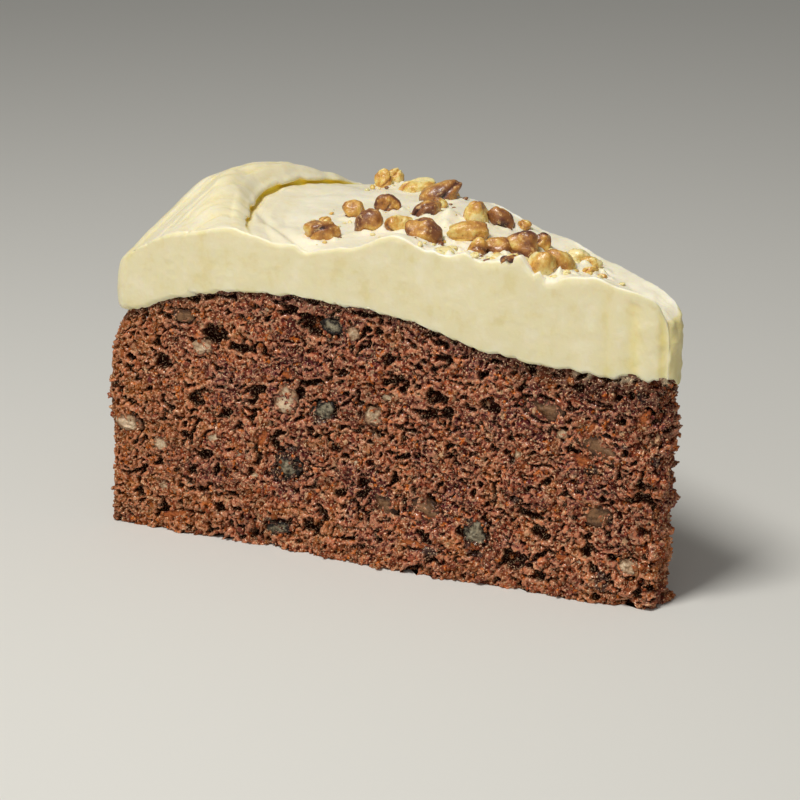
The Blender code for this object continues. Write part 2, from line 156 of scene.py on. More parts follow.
# Chopped nuts: distance from the centre, angle, length, depth, height, lean in degrees seen from the
# front, and how dark its roast is, from 0 for pale gold to 1 for dark brown
NUTS = (
    (94.0, 15.4, 3.6, 3.0, 5.0, 12, 0.12),
    (95.0, 17.3, 3.6, 3.0, 4.6, -14, 0.16),
    (74.2, 5.7, 4.9, 4.4, 4.6, 0, 0.72),
    (85.6, 17.0, 8.0, 4.9, 3.8, 14, 0.10),
    (71.2, 14.6, 9.2, 5.6, 4.9, 18, 0.48),
    (59.0, 2.2, 6.4, 4.7, 4.0, 28, 0.72),
    (72.2, -12.4, 7.0, 5.7, 4.6, 0, 0.50),
    (76.2, 0.1, 5.0, 4.2, 4.6, 0, 0.30),
    (65.6, -6.6, 6.2, 4.4, 5.0, 62, 0.60),
    (59.5, -5.3, 5.8, 4.7, 4.5, 0, 0.18),
    (51.6, -9.2, 7.0, 5.6, 5.2, -30, 0.55),
    (50.0, 6.8, 5.1, 4.4, 5.2, 0, 0.12),
    (47.6, 11.6, 6.6, 4.2, 4.4, -58, 0.62),
    (45.9, -2.5, 8.6, 5.2, 4.2, 6, 0.22),
    (40.0, -9.4, 4.8, 3.0, 3.6, 55, 0.32),
    (38.1, -3.4, 5.6, 4.4, 3.8, 0, 0.45),
    (34.5, 2.0, 6.6, 5.4, 5.8, -20, 0.48),
    (34.9, 9.8, 4.6, 2.8, 3.4, 70, 0.70),
    (26.0, -11.4, 5.8, 4.6, 5.0, 62, 0.16),
    (24.4, -2.6, 6.4, 4.6, 5.0, -52, 0.26),
    (27.4, 15.6, 4.8, 4.0, 3.6, -15, -0.06),
    (23.6, 14.6, 4.4, 3.8, 3.6, 20, -0.02),
    (23.8, 6.4, 3.2, 2.8, 2.6, 0, -0.06),
    (46.0, 16.9, 3.0, 2.6, 2.2, -20, 0.12),
    (73.0, 17.2, 2.4, 1.8, 3.4, 60, 0.10),
    (31.8, -17.2, 1.9, 1.4, 2.0, -40, 1.0),
    (30.4, -17.6, 2.6, 1.5, 1.5, -18, 1.0),
    (44.4, -14.6, 4.4, 3.2, 1.7, -5, -0.15),
    (20.4, 8.0, 3.2, 2.6, 2.2, 10, 0.12),
    (64.0, 9.0, 3.6, 3.2, 3.0, 10, 0.35),
    (34.6, -13.6, 3.4, 2.6, 1.8, 8, -0.15),
    (77.8, -5.0, 2.4, 2.0, 1.8, 0, 0.2),
    (44.8, -11.6, 2.8, 2.0, 1.4, 12, -0.15),
    (44.6, -16.6, 2.2, 1.6, 1.3, -20, -0.15),
    (37.9, -16.9, 1.9, 1.4, 1.5, 40, -0.15),
    (36.3, -8.2, 2.2, 1.6, 1.4, -10, -0.15),
    (33.7, -6.2, 2.4, 1.8, 1.5, 25, -0.15),
    (31.2, -9.2, 1.9, 1.5, 1.6, 50, 0.1),
    (24.4, -15.6, 1.6, 1.4, 1.2, 0, -0.2),
    (22.4, -14.2, 1.5, 1.3, 1.1, 0, -0.25),
    (21.3, -9.6, 1.8, 1.4, 1.2, 20, -0.15),
    (27.8, 11.2, 2.4, 1.9, 1.5, -10, -0.15),
    (22.6, 10.6, 2.2, 1.8, 1.4, 15, -0.15),
    (20.6, 14.2, 2.6, 2.0, 1.6, -15, -0.15),
    (18.2, 10.4, 1.8, 1.4, 1.1, 0, 0.3),
    (28.6, 9.0, 1.6, 1.3, 1.2, 30, -0.15),
)
NUT_SINK = 0.30
NUT_SWELL = 1.1
NUT_CRUMBS = 420
NUT_CRUMB_SPREAD = 2.6
CAKE_CRUMBS = 3000

# What shows in the front cut: kind, distance from the tip, height, length, thickness, turn in degrees
FRONT_FRUIT = (
    ("raisin", 76.2, 17.0, 5.4, 5.0, 10),
    ("raisin", 66.1, 46.3, 5.0, 3.6, -10),
    ("raisin", 68.4, 29.2, 4.6, 4.0, 40),
    ("raisin", 37.0, 9.3, 5.0, 4.8, 70),
    ("raisin", 77.9, 4.3, 5.2, 2.8, 5),
    ("sultana", 23.4, 35.5, 8.2, 4.2, -12),
    ("sultana", 12.6, 29.6, 9.6, 4.4, -28),
    ("sultana", 12.9, 16.1, 7.6, 4.6, 8),
    ("sultana", 47.2, 12.4, 8.0, 4.6, -30),
    ("walnut", 76.4, 30.5, 6.8, 4.6, 70),
    ("walnut", 91.9, 20.7, 4.2, 3.2, 20),
    ("walnut", 58.1, 29.3, 4.8, 4.2, 10),
    ("walnut", 111.0, 21.3, 4.6, 5.4, 80),
    ("walnut", 103.9, 18.1, 3.4, 3.0, 0),
    ("walnut", 93.9, 38.8, 3.4, 4.8, 100),
    ("sultana", 97.8, 44.8, 4.4, 2.6, 0),
    ("walnut", 6.6, 7.3, 3.4, 4.0, 60),
    ("walnut", 20.0, 31.1, 2.4, 2.2, 0),
    ("carrot", 15.8, 26.8, 4.4, 1.6, -20),
    ("carrot", 81.5, 21.8, 4.0, 2.2, 80),
    ("carrot", 14.6, 32.8, 3.6, 1.3, 60),
    ("carrot", 50.3, 5.9, 9.5, 1.4, -8),
    ("carrot", 4.2, 36.1, 4.0, 1.6, 70),
    ("carrot", 101.0, 3.6, 6.5, 1.4, 15),
    ("walnut", 80.1, 48.2, 2.4, 1.6, 0),
    ("walnut", 86.5, 18.0, 1.8, 1.4, 30),
    ("walnut", 103.3, 9.2, 2.0, 2.4, 0),
    ("walnut", 83.3, 14.1, 2.6, 1.3, 20),
    ("walnut", 55.0, 33.9, 2.4, 1.5, -20),
    ("walnut", 61.5, 19.8, 1.6, 2.2, 10),
    ("walnut", 28.6, 26.0, 1.9, 2.1, 0),
    ("walnut", 16.2, 7.1, 2.0, 1.2, 0),
    ("carrot", 75.9, 35.8, 2.6, 1.6, 20),
    ("carrot", 16.2, 26.4, 2.0, 2.4, 40),
    ("carrot", 4.6, 36.1, 2.2, 2.6, 30),
    ("carrot", 19.3, 7.6, 2.4, 1.6, 0),
    ("carrot", 81.0, 22.6, 2.0, 2.8, 10),
    ("carrot", 27.5, 24.0, 1.5, 1.2, 0),
    ("walnut", 62.2, 45.8, 3.4, 2.8, -30),
    ("sultana", 55.7, 12.2, 6.5, 4.5, -50),
)
# Dark fruit skin torn through the front cut: distance from the tip, height, half width, half height
FRONT_SKIN = (
    (11.2, 4.3, 2.0, 1.6),
    (10.5, 14.9, 0.8, 2.0),
    (46.0, 4.9, 2.0, 0.8),
    (36.5, 5.6, 1.6, 0.6),
    (16.7, 15.4, 0.9, 0.6),
    (5.3, 40.7, 1.1, 1.6),
    (7.5, 30.5, 1.3, 0.8),
    (74.8, 21.2, 1.1, 0.7),
    (79.6, 5.7, 1.6, 0.6),
    (104.4, 5.0, 1.6, 0.7),
    (91.6, 41.1, 1.6, 1.3),
    (14.4, 25.1, 1.6, 1.0),
    (2.1, 28.8, 1.0, 1.3),
    (28.0, 17.2, 1.2, 0.8),
)
# Lumps of the crumb: size, how far one stands off another, dome, depth and width of the gap between two,
# seed, and the strength, size and seed of the noise that bends their borders
LUMPS = (
    (2.6, 0.45, 0.36, 0.12, 0.07, 31, 0.0, 1.0, 0),
    (1.2, 0.30, 0.22, 0.06, 0.12, 181, 0.3, 0.7, 171),
    (0.6, 0.32, 0.26, 0.0, 1.0, 51, 0.2, 0.5, 41),
)
CRUMB_LEVEL = 0.42
DEEPEST_HOLE = 3.0
# Torn holes: size of the noise that makes them, its limit and slope, depth, seed
TORN_HOLES = (
    (3.6, 0.58, 0.20, 2.2, 121),
    (2.0, 0.50, 0.20, 1.7, 131),
    (1.2, 0.55, 0.14, 1.0, 141),
    (0.8, 0.58, 0.16, 0.6, 145),
)
# Large holes in the front cut: distance from the tip, height, half width, half height, depth
FRONT_HOLES = (
    (91.2, 41.8, 2.6, 2.0, 2.6),
    (102.7, 34.9, 1.8, 1.8, 2.2),
    (96.1, 28.0, 1.7, 1.2, 2.0),
    (89.4, 25.8, 1.7, 1.1, 1.8),
    (33.8, 34.7, 2.0, 1.6, 2.0),
    (65.3, 22.2, 1.5, 1.2, 1.6),
    (4.6, 20.6, 2.2, 1.5, 2.0),
    (43.5, 43.0, 1.9, 1.0, 1.8),
    (55.0, 41.0, 1.3, 1.1, 1.6),
)

# Grids
CUT_COLUMNS = 380
TIP_COLUMNS = 30
BACK_COLUMNS = 385
RIM_COLUMNS = 300
SPONGE_ROWS = 250
FROSTING_ALONG_INNER = 190
FROSTING_ALONG_CREASE = 44
FROSTING_ALONG_OUTER = 46
FROSTING_ACROSS = 140
FROSTING_ROWS = 52

# Photograph's camera: aim, angles in degrees, distance, lens
CAMERA_AIM = (-6.23, 0.0, 26.64)
CAMERA_AZIMUTH = 41.49
CAMERA_ELEVATION = 18.0
CAMERA_DISTANCE = 510.7
CAMERA_LENS = 117.0


def smooth(t):
    """Rises smoothly from 0 to 1 as t goes from 0 to 1: 3 t^2 - 2 t^3."""
    t = np.clip(t, 0, 1)
    return t * t * (3 - 2 * t)


def bell(x, width, power=2):
    """Bell curve of height 1: e^-|x / width|^power."""
    return np.exp(-(np.abs(x / width) ** power))


def random_of(cell, seed):
    """A random number from 0 to 1 for each whole-number triple, by mixing its bits."""
    c = cell.astype(np.int64).astype(np.uint32)
    n = c[..., 0] * np.uint32(374761393) + c[..., 1] * np.uint32(668265263)
    n = n + c[..., 2] * np.uint32(2246822519) + np.uint32((seed * 3266489917) & 0xFFFFFFFF)
    n = (n ^ (n >> np.uint32(13))) * np.uint32(1274126177)
    n = (n ^ (n >> np.uint32(15))) * np.uint32(2246822519)
    return ((n ^ (n >> np.uint32(16))) / np.float32(4294967296.0)).astype(np.float32)


def noise(p, size, seed):
    """Smooth noise from -1 to 1: random numbers at the corners of a grid, blended by smoothstep."""
    q = p / np.asarray(size, dtype=float)
    cell = np.floor(q)
    f = smooth(q - cell)
    total = np.zeros(p.shape[:-1])
    for corner in np.ndindex(2, 2, 2):
        weight = np.prod(np.where(corner, f, 1 - f), axis=-1)
        total += weight * random_of(cell + corner, seed)
    return 2 * total - 1


def rough(p, size, seed, octaves=3):
    """Sum of noises, each half as large and half as strong as the one before."""
    return sum(noise(p, size / 2**k, seed + k) / 2**k for k in range(octaves))


def layers(p, *rows):
    """Sum of noises, each given by its height, size and seed."""
    return sum(height * noise(p, size, seed) for height, size, seed in rows)


def noise_vector(p, size, seed):
    """Three noises at once, as a vector."""
    return np.stack([noise(p, size, seed + k) for k in (0, 1, 2)], axis=-1)


def cells(p, size, seed):
    """Distances to the nearest and second nearest of scattered points, one in each cell of a grid, in
    units of the cell's size, and a random number that belongs to the nearest."""
    q = p / size
    home = np.floor(q)
    first = np.full(p.shape[:-1], 9.0)
    second = first.copy()
    owner = np.zeros_like(first)
    for offset in np.ndindex(3, 3, 3):
        cell = home + offset - 1
        point = cell + np.stack([random_of(cell, seed + k) for k in (0, 1, 2)], axis=-1)
        distance = np.linalg.norm(point - q, axis=-1)
        nearer = distance < first
        second = np.where(nearer, first, np.minimum(second, distance))
        owner = np.where(nearer, random_of(cell, seed + 3), owner)
        first = np.where(nearer, distance, first)
    return first, second, owner


def round_corner(along, across, reach):
    """Maps a square corner of two distances, 0 to reach from its inner lines, to a round one."""
    a = np.clip(along / reach, 0, 1)
    b = np.clip(across / reach, 0, 1)
    return reach * a * (np.sqrt(1 - b * b / 2) - 1), reach * b * (np.sqrt(1 - a * a / 2) - 1)


def plan(u, v, start, length, tip_corner, rim_corner):
    """Plan position: u runs from the tip to the rim, v from the front cut (-1) to the back cut (+1). The
    distance along the slice is start + u (length - start), the rim bows out, the corners are round."""
    u, v, start, length = np.broadcast_arrays(u, v, start, length)
    s = start + u * (length - start)
    half = (TIP_WIDTH + (RIM_WIDTH - TIP_WIDTH) * s / CAKE_RADIUS) / 2
    side = np.abs(v) * half
    ds_rim, dq_rim = round_corner(s - (length - rim_corner), side - (half - rim_corner), rim_corner)
    ds_tip, dq_tip = round_corner(start + tip_corner - s, side - (half - tip_corner), tip_corner)
    s = s + ds_rim - ds_tip
    side = (side + dq_rim + dq_tip) * np.sign(v)
    across = (side / half + 1) / 2
    share = s / CAKE_RADIUS
    front_x = TIP_X - s * math.cos(HALF_ANGLE)
    front_y = -s * math.sin(HALF_ANGLE)
    back_x = TIP_X - TIP_SKEW - share * (CAKE_RADIUS * math.cos(HALF_ANGLE) - TIP_SKEW)
    back_y = TIP_WIDTH + share * (CAKE_RADIUS * math.sin(HALF_ANGLE) - TIP_WIDTH)
    x = front_x + across * (back_x - front_x) - RIM_BOW * 4 * across * (1 - across) * share**2
    return x, front_y + across * (back_y - front_y)


def polar(x, y):
    """Distance from the cake's centre, and angle in degrees, negative on the front side."""
    return np.hypot(TIP_X - x, y), np.degrees(np.arctan2(y, TIP_X - x))


def slice_point(r, angle):
    """Plan position at a distance from the cake's centre and an angle in degrees."""
    return TIP_X - r * np.cos(np.radians(angle)), r * np.sin(np.radians(angle))


def sponge_top(x, y):
    """Height of the sponge: a bell-shaped dome on the edge height, with low swells, less the fall to the
    shoulder."""
    r, _ = polar(x, y)
    top = SPONGE_EDGE + DOME_RISE * bell(r - DOME_AT, DOME_REACH, DOME_POWER)
    beyond = np.clip(r - SHOULDER_AT, 0, None) / (SHOULDER_LENGTH - SHOULDER_AT)
    swells = sum(height * bell(r - at, reach) for at, reach, height in SWELLS)
    return top + swells - SHOULDER_DROP * beyond**SHOULDER_POWER


def crease_radius(angle):
    """Distance of the swirl's crease from the centre, by angle."""
    return CREASE_AT + np.where(angle < 0, CREASE_SLOPE_FRONT, CREASE_SLOPE_BACK) * angle


def fold_strength(angle):
    """How much of the outer fold there is at an angle: 1 at its middle, dying away to both cuts."""
    off = angle - FOLD_ANGLE
    front = bell(off, FOLD_REACH_FRONT, FOLD_POWER_FRONT)
    return np.where(off < 0, front, bell(off, FOLD_REACH_BACK, FOLD_POWER_BACK))


def frosting_top(x, y):
    """Height of the frosting: a level that falls at the rim and the tip, plus round mounds, plus the
    outer fold. Inside the crease the fall waits where the fold is strong; beyond it the fold steps up by
    a lip and then rises by 1 - (1 - t)^1.25."""
    r, angle = polar(x, y)
    strength = fold_strength(angle)
    crease = crease_radius(angle)
    beyond = r - crease
    width = np.minimum(FOLD_WIDTH, FOLD_WIDTH_SHARE * np.maximum(FROSTING_LENGTH - crease, 2))
    rise = 1 - (1 - np.clip(beyond / width, 0, 1)) ** FOLD_RISE_POWER
    rim = RIM_FALL * (np.clip(r - RIM_FALL_FROM, 0, None) / RIM_FALL_REACH) ** 2
    z = FROSTING_LEVEL - rim * (1 - strength * (1 - rise)) - TIP_FALL * np.exp(-r / TIP_FALL_REACH)
    z = z - FROSTING_STEP * np.clip((STEP_FROM - r) / STEP_REACH, 0, 1)
    z = z - TIP_TILT * bell(r, TIP_TILT_REACH) * smooth((angle + TIP_TILT_ANGLE) / (2 * TIP_TILT_ANGLE))
    for at, turn, along, across, height in MOUNDS:
        z = z + height * bell(r - at, along) * bell(angle - turn, across)
    fold = np.where(beyond > 0, FOLD_LIP * smooth(beyond / LIP_WIDTH) + FOLD_RISE * rise, 0)
    return z + strength * (fold - CREASE_DEPTH * bell(beyond, CREASE_WIDTH))


def linear(code, alpha=1.0):
    """Linear colour of an sRGB hex code."""
    srgb = [int(code[k : k + 2], 16) / 255 for k in (1, 3, 5)]
    return (*(c / 12.92 if c <= 0.04045 else ((c + 0.055) / 1.055) ** 2.4 for c in srgb), alpha)


def new_material(name):
    """An empty material with an output, and its node tree."""
    made = bpy.data.materials.new(name)
    made.use_nodes = True
    made.node_tree.nodes.clear()
    return made, made.node_tree


def node(tree, kind, settings=None, links=None):
    """Adds a node. settings holds its attributes, its socket values by name or number, and the (position,
    hex colour) stops of a colour ramp; links maps a socket of the node to the output that feeds it."""
    made = tree.nodes.new(kind)
    for key, value in (settings or {}).items():
        if key == "stops":
            elements = made.color_ramp.elements
            while len(elements) < len(value):
                elements.new(0.5)
            for element, (position, code) in zip(elements, value):
                element.position = position
                element.color = linear(code)
        elif isinstance(key, str) and hasattr(made, key):
            setattr(made, key, value)
        else:
            made.inputs[key].default_value = value
    for key, source in (links or {}).items():
        tree.links.new(source, made.inputs[key])
    return made


def read_fields(tree, attributes, noises):
    """The values a material reads, by name: attributes of the mesh, and noises on Object coordinates given
    as name: (size of its features in mm, detail)."""
    fields = {}
    for name in attributes:
        fields[name] = node(tree, "ShaderNodeAttribute", {"attribute_name": name}).outputs["Fac"]
    where = node(tree, "ShaderNodeTexCoord").outputs["Object"]
    for name, (size, detail) in noises.items():
        settings = {"Scale": 1 / (size * MM), "Detail": detail, "Roughness": 0.6}
        fields[name] = node(tree, "ShaderNodeTexNoise", settings, {"Vector": where}).outputs["Fac"]
    return fields


def span(low, high, first, last):
    """Settings that map a value between low and high to one between first and last."""
    return {"From Min": low, "From Max": high, "To Min": first, "To Max": last}


def tinted(tree, base, fields, tints):
    """Lays colours over a base one after another, each where a field goes from a low to a high value and
    never by more than its share."""
    for name, low, high, share, code in tints:
        limits = span(low, high, 0.0, share)
        mask = node(tree, "ShaderNodeMapRange", limits, {"Value": fields[name]}).outputs[0]
        colours = {"data_type": "RGBA", 7: linear(code)}
        base = node(tree, "ShaderNodeMix", colours, {0: mask, 6: base}).outputs[2]
    return base


def shifted(tree, value, field, reach):
    """A value moved up or down by a noise, by no more than its reach."""
    limits = span(0.3, 0.7, -reach, reach)
    shift = node(tree, "ShaderNodeMapRange", limits, {"Value": field}).outputs[0]
    return node(tree, "ShaderNodeMath", {"operation": "ADD"}, {0: value, 1: shift}).outputs[0]


def finish_material(made, settings, links=None, height=None, distance=0.0):
    """Adds the Principled shader, a bump of a height field and a depth in mm if there is one, and the
    output."""
    tree = made.node_tree
    links = dict(links or {})
    if height:
        depth = {"Distance": distance * MM, "Strength": 1.0}
        links["Normal"] = node(tree, "ShaderNodeBump", depth, {"Height": height}).outputs[0]
    shader = node(tree, "ShaderNodeBsdfPrincipled", settings, links)
    node(tree, "ShaderNodeOutputMaterial", links={"Surface": shader.outputs[0]})
    return made


def crumb_material():
    """Moist spiced crumb: baked batter in small glistening grains, from orange-brown to purple-brown,
    with a darker, wetter band below the frosting; the rim is dry and baked. Painted glints speck it,
    painted highlight lightens its raised bits, and painted shade makes pores and dips almost black."""
    made, tree = new_material("moist_crumb")
    attributes = ("clump", "grain", "ridge", "hollow", "gold", "crust", "moist", "skin", "smear")
    fields = read_fields(tree, attributes, {
        "patch": (3.5, 5.0), "zone": (10.0, 3.0), "dusk": (6.0, 4.0), "orange": (1.5, 3.0),
        "beige": (1.9, 4.0), "rust": (2.6, 4.0), "fine": (0.34, 4.0), "dots": (0.36, 2.0),
        "gloss": (0.6, 2.0), "bump": (0.5, 4.0),
    })
    mixed = {"data_type": "FLOAT", 0: 0.6}
    tone = node(tree, "ShaderNodeMix", mixed, {2: fields["clump"], 3: fields["patch"]}).outputs[0]
    stops = ((0.3, "#743c1a"), (0.42, "#a24c26"), (0.5, "#80342a"), (0.58, "#aa4e30"), (0.7, "#6a2a30"))
    base = node(tree, "ShaderNodeValToRGB", {"stops": stops}, {0: tone}).outputs[0]
    speck = node(tree, "ShaderNodeMix", mixed, {2: fields["grain"], 3: fields["fine"]}).outputs[0]
    stops = ((0.34, "#3c0c06"), (0.46, "#823420"), (0.56, "#ca6e44"), (0.64, "#ffd8aa"))
    light = node(tree, "ShaderNodeValToRGB", {"stops": stops}, {0: speck}).outputs[0]
    base = node(tree, "ShaderNodeMix", {"data_type": "RGBA", 0: 0.4}, {6: base, 7: light}).outputs[2]
    base = tinted(tree, base, fields, (
        ("zone", 0.47, 0.56, 0.75, "#642834"),
        ("dusk", 0.54, 0.62, 0.7, "#4e1e1a"),
        ("dusk", 0.45, 0.37, 0.5, "#c47a3c"),
        ("gold", 0.0, 1.0, 0.42, "#a8641e"),
        ("gold", 0.1, 0.0, 0.22, "#4a180e"),
        ("rust", 0.57, 0.64, 0.65, "#b4522a"),
        ("orange", 0.6, 0.64, 0.85, "#dd7426"),
        ("beige", 0.62, 0.66, 0.75, "#e2b88c"),
        ("crust", 0.0, 1.0, 0.85, "#9a5620"),
        # painted highlight: raised bits of the crumb lightened in colour
        ("ridge", 0.3, 1.0, 0.48, "#f8a276"),
        ("moist", 0.0, 1.0, 0.75, "#3d1a0e"),
        ("skin", 0.0, 1.0, 0.85, "#21171a"),
        ("smear", 0.0, 1.0, 0.6, "#cdbf9c"),
        # painted shade: dips between raised bits darkened
        ("ridge", 0.0, -0.9, 0.75, "#3a0a04"),
        # painted shade: pores and holes darkened almost to black
        ("hollow", 0.1, 1.2, 0.9, "#2a0600"),
        # painted glints: tiny bright specks standing in for highlights on the wet crumb
        ("dots", 0.595, 0.635, 0.85, "#ffd8aa"),
    ))
    limits = span(0.4, 0.62, 0.28, 0.75)
    gloss = node(tree, "ShaderNodeMapRange", limits, {"Value": fields["gloss"]}).outputs[0]
    limits = span(0.1, 0.9, 0.0, 0.6)
    wet = node(tree, "ShaderNodeMapRange", limits, {"Value": fields["ridge"]}).outputs[0]
    settings = {
        "Specular IOR Level": 0.1,
        "Coat Roughness": 0.08,
        "Subsurface Weight": 0.05,
        "Subsurface Radius": (1.0, 0.4, 0.2),
        "Subsurface Scale": 0.6 * MM,
    }
    links = {"Base Color": base, "Roughness": gloss, "Coat Weight": wet}
    return finish_material(made, settings, links, fields["bump"], 0.55)


def frosting_material():
    """Cream cheese frosting: soft, satin and slightly translucent. Painted shade makes it a deeper yellow
    in the crease, the spatula grooves, the knife's streaks and on the tip's end face. The cut faces are a
    little more yellow than the top, partly the fresh cut's own tone and partly painted light on the top,
    which painted light also makes paler on thin raised edges and within the crease."""
    made, tree = new_material("cream_cheese_frosting")
    noises = {"tone": (12.0, 3.0), "mottle": (4.5, 4.0), "bump": (1.1, 4.0)}
    fields = read_fields(tree, ("hollow", "cut", "pale"), noises)
    stops = ((0.35, "#eadfbb"), (0.65, "#eee4c4"))
    base = node(tree, "ShaderNodeValToRGB", {"stops": stops}, {0: fields["tone"]}).outputs[0]
    base = tinted(tree, base, fields, (
        # cut faces a little more yellow than the top: partly their own tone, partly painted sky light on
        # the top
        ("cut", 0.0, 1.0, 0.9, "#ece1b6"),
        ("mottle", 0.52, 0.66, 0.45, "#f6edd0"),
        ("mottle", 0.46, 0.34, 0.5, "#e2d294"),
        # painted light: paler on raised lips by the cuts, over the top and most within the crease
        ("pale", 0.0, 1.0, 0.8, "#fbf5e4"),
        # painted shade: deeper yellow in the slit, the spatula grooves, the knife's streaks and the tip's
        # end face
        ("hollow", 0.0, 0.8, 1.0, "#f2da3c"),
    ))
    settings = {
        "Roughness": 0.42,
        "Specular IOR Level": 0.4,
        "Subsurface Weight": 0.35,
        "Subsurface Radius": (1.0, 0.75, 0.3),
        "Subsurface Scale": 2.0 * MM,
    }
    return finish_material(made, settings, {"Base Color": base}, fields["bump"], 0.07)


def nut_material():
    """Roasted chopped nut: pale golden flesh where it was cut, brown oily skin outside, with darker veins
    and toasted spots."""
    made, tree = new_material("roasted_nut")
    fields = read_fields(tree, ("roast",), {"spots": (1.4, 5.0), "veins": (0.7, 3.0), "bump": (0.45, 4.0)})
    tone = shifted(tree, fields["roast"], fields["spots"], 0.14)
    stops = (
        (0.0, "#f2e0a0"), (0.1, "#e8cb76"), (0.24, "#d8a64c"), (0.42, "#be843c"),
        (0.6, "#96602f"), (0.8, "#70402a"), (1.0, "#3a1a10"),
    )
    base = node(tree, "ShaderNodeValToRGB", {"stops": stops}, {0: tone}).outputs[0]
    tints = (("veins", 0.62, 0.7, 0.45, "#6b3a1a"), ("veins", 0.42, 0.34, 0.5, "#f4d494"))
    base = tinted(tree, base, fields, tints)
    settings = {
        "Roughness": 0.34,
        "Specular IOR Level": 0.5,
        "Coat Weight": 0.35,
        "Coat Roughness": 0.16,
        "Subsurface Weight": 0.2,
        "Subsurface Radius": (1.0, 0.55, 0.2),
        "Subsurface Scale": 1.2 * MM,
    }
    return finish_material(made, settings, {"Base Color": base}, fields["bump"], 0.16)


def inclusion_material(name, stops, roughness, grain):
    """Flesh of a piece of fruit or nut in the cut: from its middle to its skin by the edge attribute, with
    fibres of a grain size in millimetres and a moist shine."""
    made, tree = new_material(name)
    fields = read_fields(tree, ("edge",), {"spots": (grain, 5.0), "fibres": (grain / 2.5, 3.0)})
    tone = shifted(tree, fields["edge"], fields["spots"], 0.45)
    base = node(tree, "ShaderNodeValToRGB", {"stops": stops}, {0: tone}).outputs[0]
    tints = (("fibres", 0.58, 0.68, 0.4, stops[0][1]), ("fibres", 0.42, 0.32, 0.4, stops[-1][1]))
    base = tinted(tree, base, fields, tints)
    settings = {
        "Roughness": roughness,
        "Specular IOR Level": 0.25,
        "Coat Weight": 0.1,
        "Coat Roughness": 0.08,
        "Subsurface Weight": 0.15,
        "Subsurface Radius": (1.0, 0.6, 0.3),
        "Subsurface Scale": 0.8 * MM,
    }
    return finish_material(made, settings, {"Base Color": base}, fields["fibres"], 0.3)


def grid_quads(index):
    """Quads of a grid of vertex numbers, each going from a row to the next by the second axis first."""
    corners = index[:-1, :-1], index[:-1, 1:], index[1:, 1:], index[1:, :-1]
    return np.stack(corners, axis=-1).reshape(-1, 4)


def fan(line, apex):
    """Triangles from each step of a line of vertex numbers to one more vertex."""
    return np.stack([line[1:], line[:-1], np.full(len(line) - 1, apex)], axis=1)


def make_piece(name, points, quads, triangles, attributes, finish, slot):
    """Puts points (mm), quads and triangles into a smooth mesh with its attributes, and rides it on the
    slice."""
    mesh = bpy.data.meshes.new(name)
    points = np.asarray(points, dtype=np.float32) * MM
    quads = np.asarray(quads, dtype=np.int32).reshape(-1, 4)
    triangles = np.asarray(triangles, dtype=np.int32).reshape(-1, 3)
    corners = np.concatenate([quads.ravel(), triangles.ravel()])
    sizes = np.concatenate([np.full(len(quads), 4), np.full(len(triangles), 3)]).astype(np.int32)
    mesh.vertices.add(len(points))
    mesh.vertices.foreach_set("co", points.ravel())
    mesh.loops.add(len(corners))
    mesh.loops.foreach_set("vertex_index", corners)
    mesh.polygons.add(len(sizes))
    mesh.polygons.foreach_set("loop_start", np.concatenate([[0], np.cumsum(sizes)[:-1]]).astype(np.int32))
    mesh.polygons.foreach_set("use_smooth", np.ones(len(sizes), dtype=bool))
    for key, values in attributes.items():
        layer = mesh.attributes.new(key, "FLOAT", "POINT")
        layer.data.foreach_set("value", np.asarray(values, dtype=np.float32).ravel())
    mesh.update(calc_edges=True)
    mesh.validate()
    mesh.materials.append(finish)
    piece = bpy.data.objects.new(name, mesh)
    bpy.context.scene.collection.objects.link(piece)
    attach(piece, "root")
    return piece


def surface_normals(grid):
    """Unit normals of a grid of points, from the cross product of its two directions."""
    normal = np.cross(np.gradient(grid, axis=1), np.gradient(grid, axis=0))
    return normal / np.maximum(np.linalg.norm(normal, axis=-1, keepdims=True), 1e-9)


def wall_point(u, v, level):
    """Point of the sponge's wall: level 0 is its foot and 1 its top edge. Near the top the rim rounds
    over, and the tip leans back towards its foot."""
    top_x, top_y = plan(u, v, 0.0, SHOULDER_LENGTH, SPONGE_CORNER, SPONGE_CORNER)
    inset = SHOULDER_INSET * np.clip((level - SHOULDER_LEVEL) / (1 - SHOULDER_LEVEL), 0, None) ** 2
    foot = RIM_FOOT * np.clip(1 - level / RIM_FOOT_LEVEL, 0, None)
    start = SPONGE_TIP_UNDERCUT * np.clip(1 - level, 0, 1) ** TIP_UNDERCUT_POWER
    x, y = plan(u, v, start, CAKE_RADIUS - inset + foot, SPONGE_CORNER, SPONGE_CORNER)
    return np.stack([x, y, level * sponge_top(top_x, top_y)], axis=-1)


def flare(distance, height):
    """How far the foot of the front cut stands out, at a distance from the tip and a height."""
    return FLARE * bell(height, FLARE_HEIGHT) * bell(distance - FLARE_AT, FLARE_REACH, 3)


def front_point(distance, height):
    """Point of the front cut at a distance from the tip and a height, and the cut's normal there."""
    x = TIP_X - distance * math.cos(HALF_ANGLE)
    y = -distance * math.sin(HALF_ANGLE)
    normal = np.array([math.sin(HALF_ANGLE), -math.cos(HALF_ANGLE), 0.0])
    return np.array([x, y, height]) + flare(distance, height) * normal, normal


def oval(distance, height, at, level, wide, high, turn=0.0):
    """Distance from the middle of an oval on the front cut, 1 at its border, turned by degrees."""
    c, s = math.cos(math.radians(turn)), math.sin(math.radians(turn))
    right, up = at - distance, height - level
    return np.hypot((right * c + up * s) / wide, (up * c - right * s) / high)


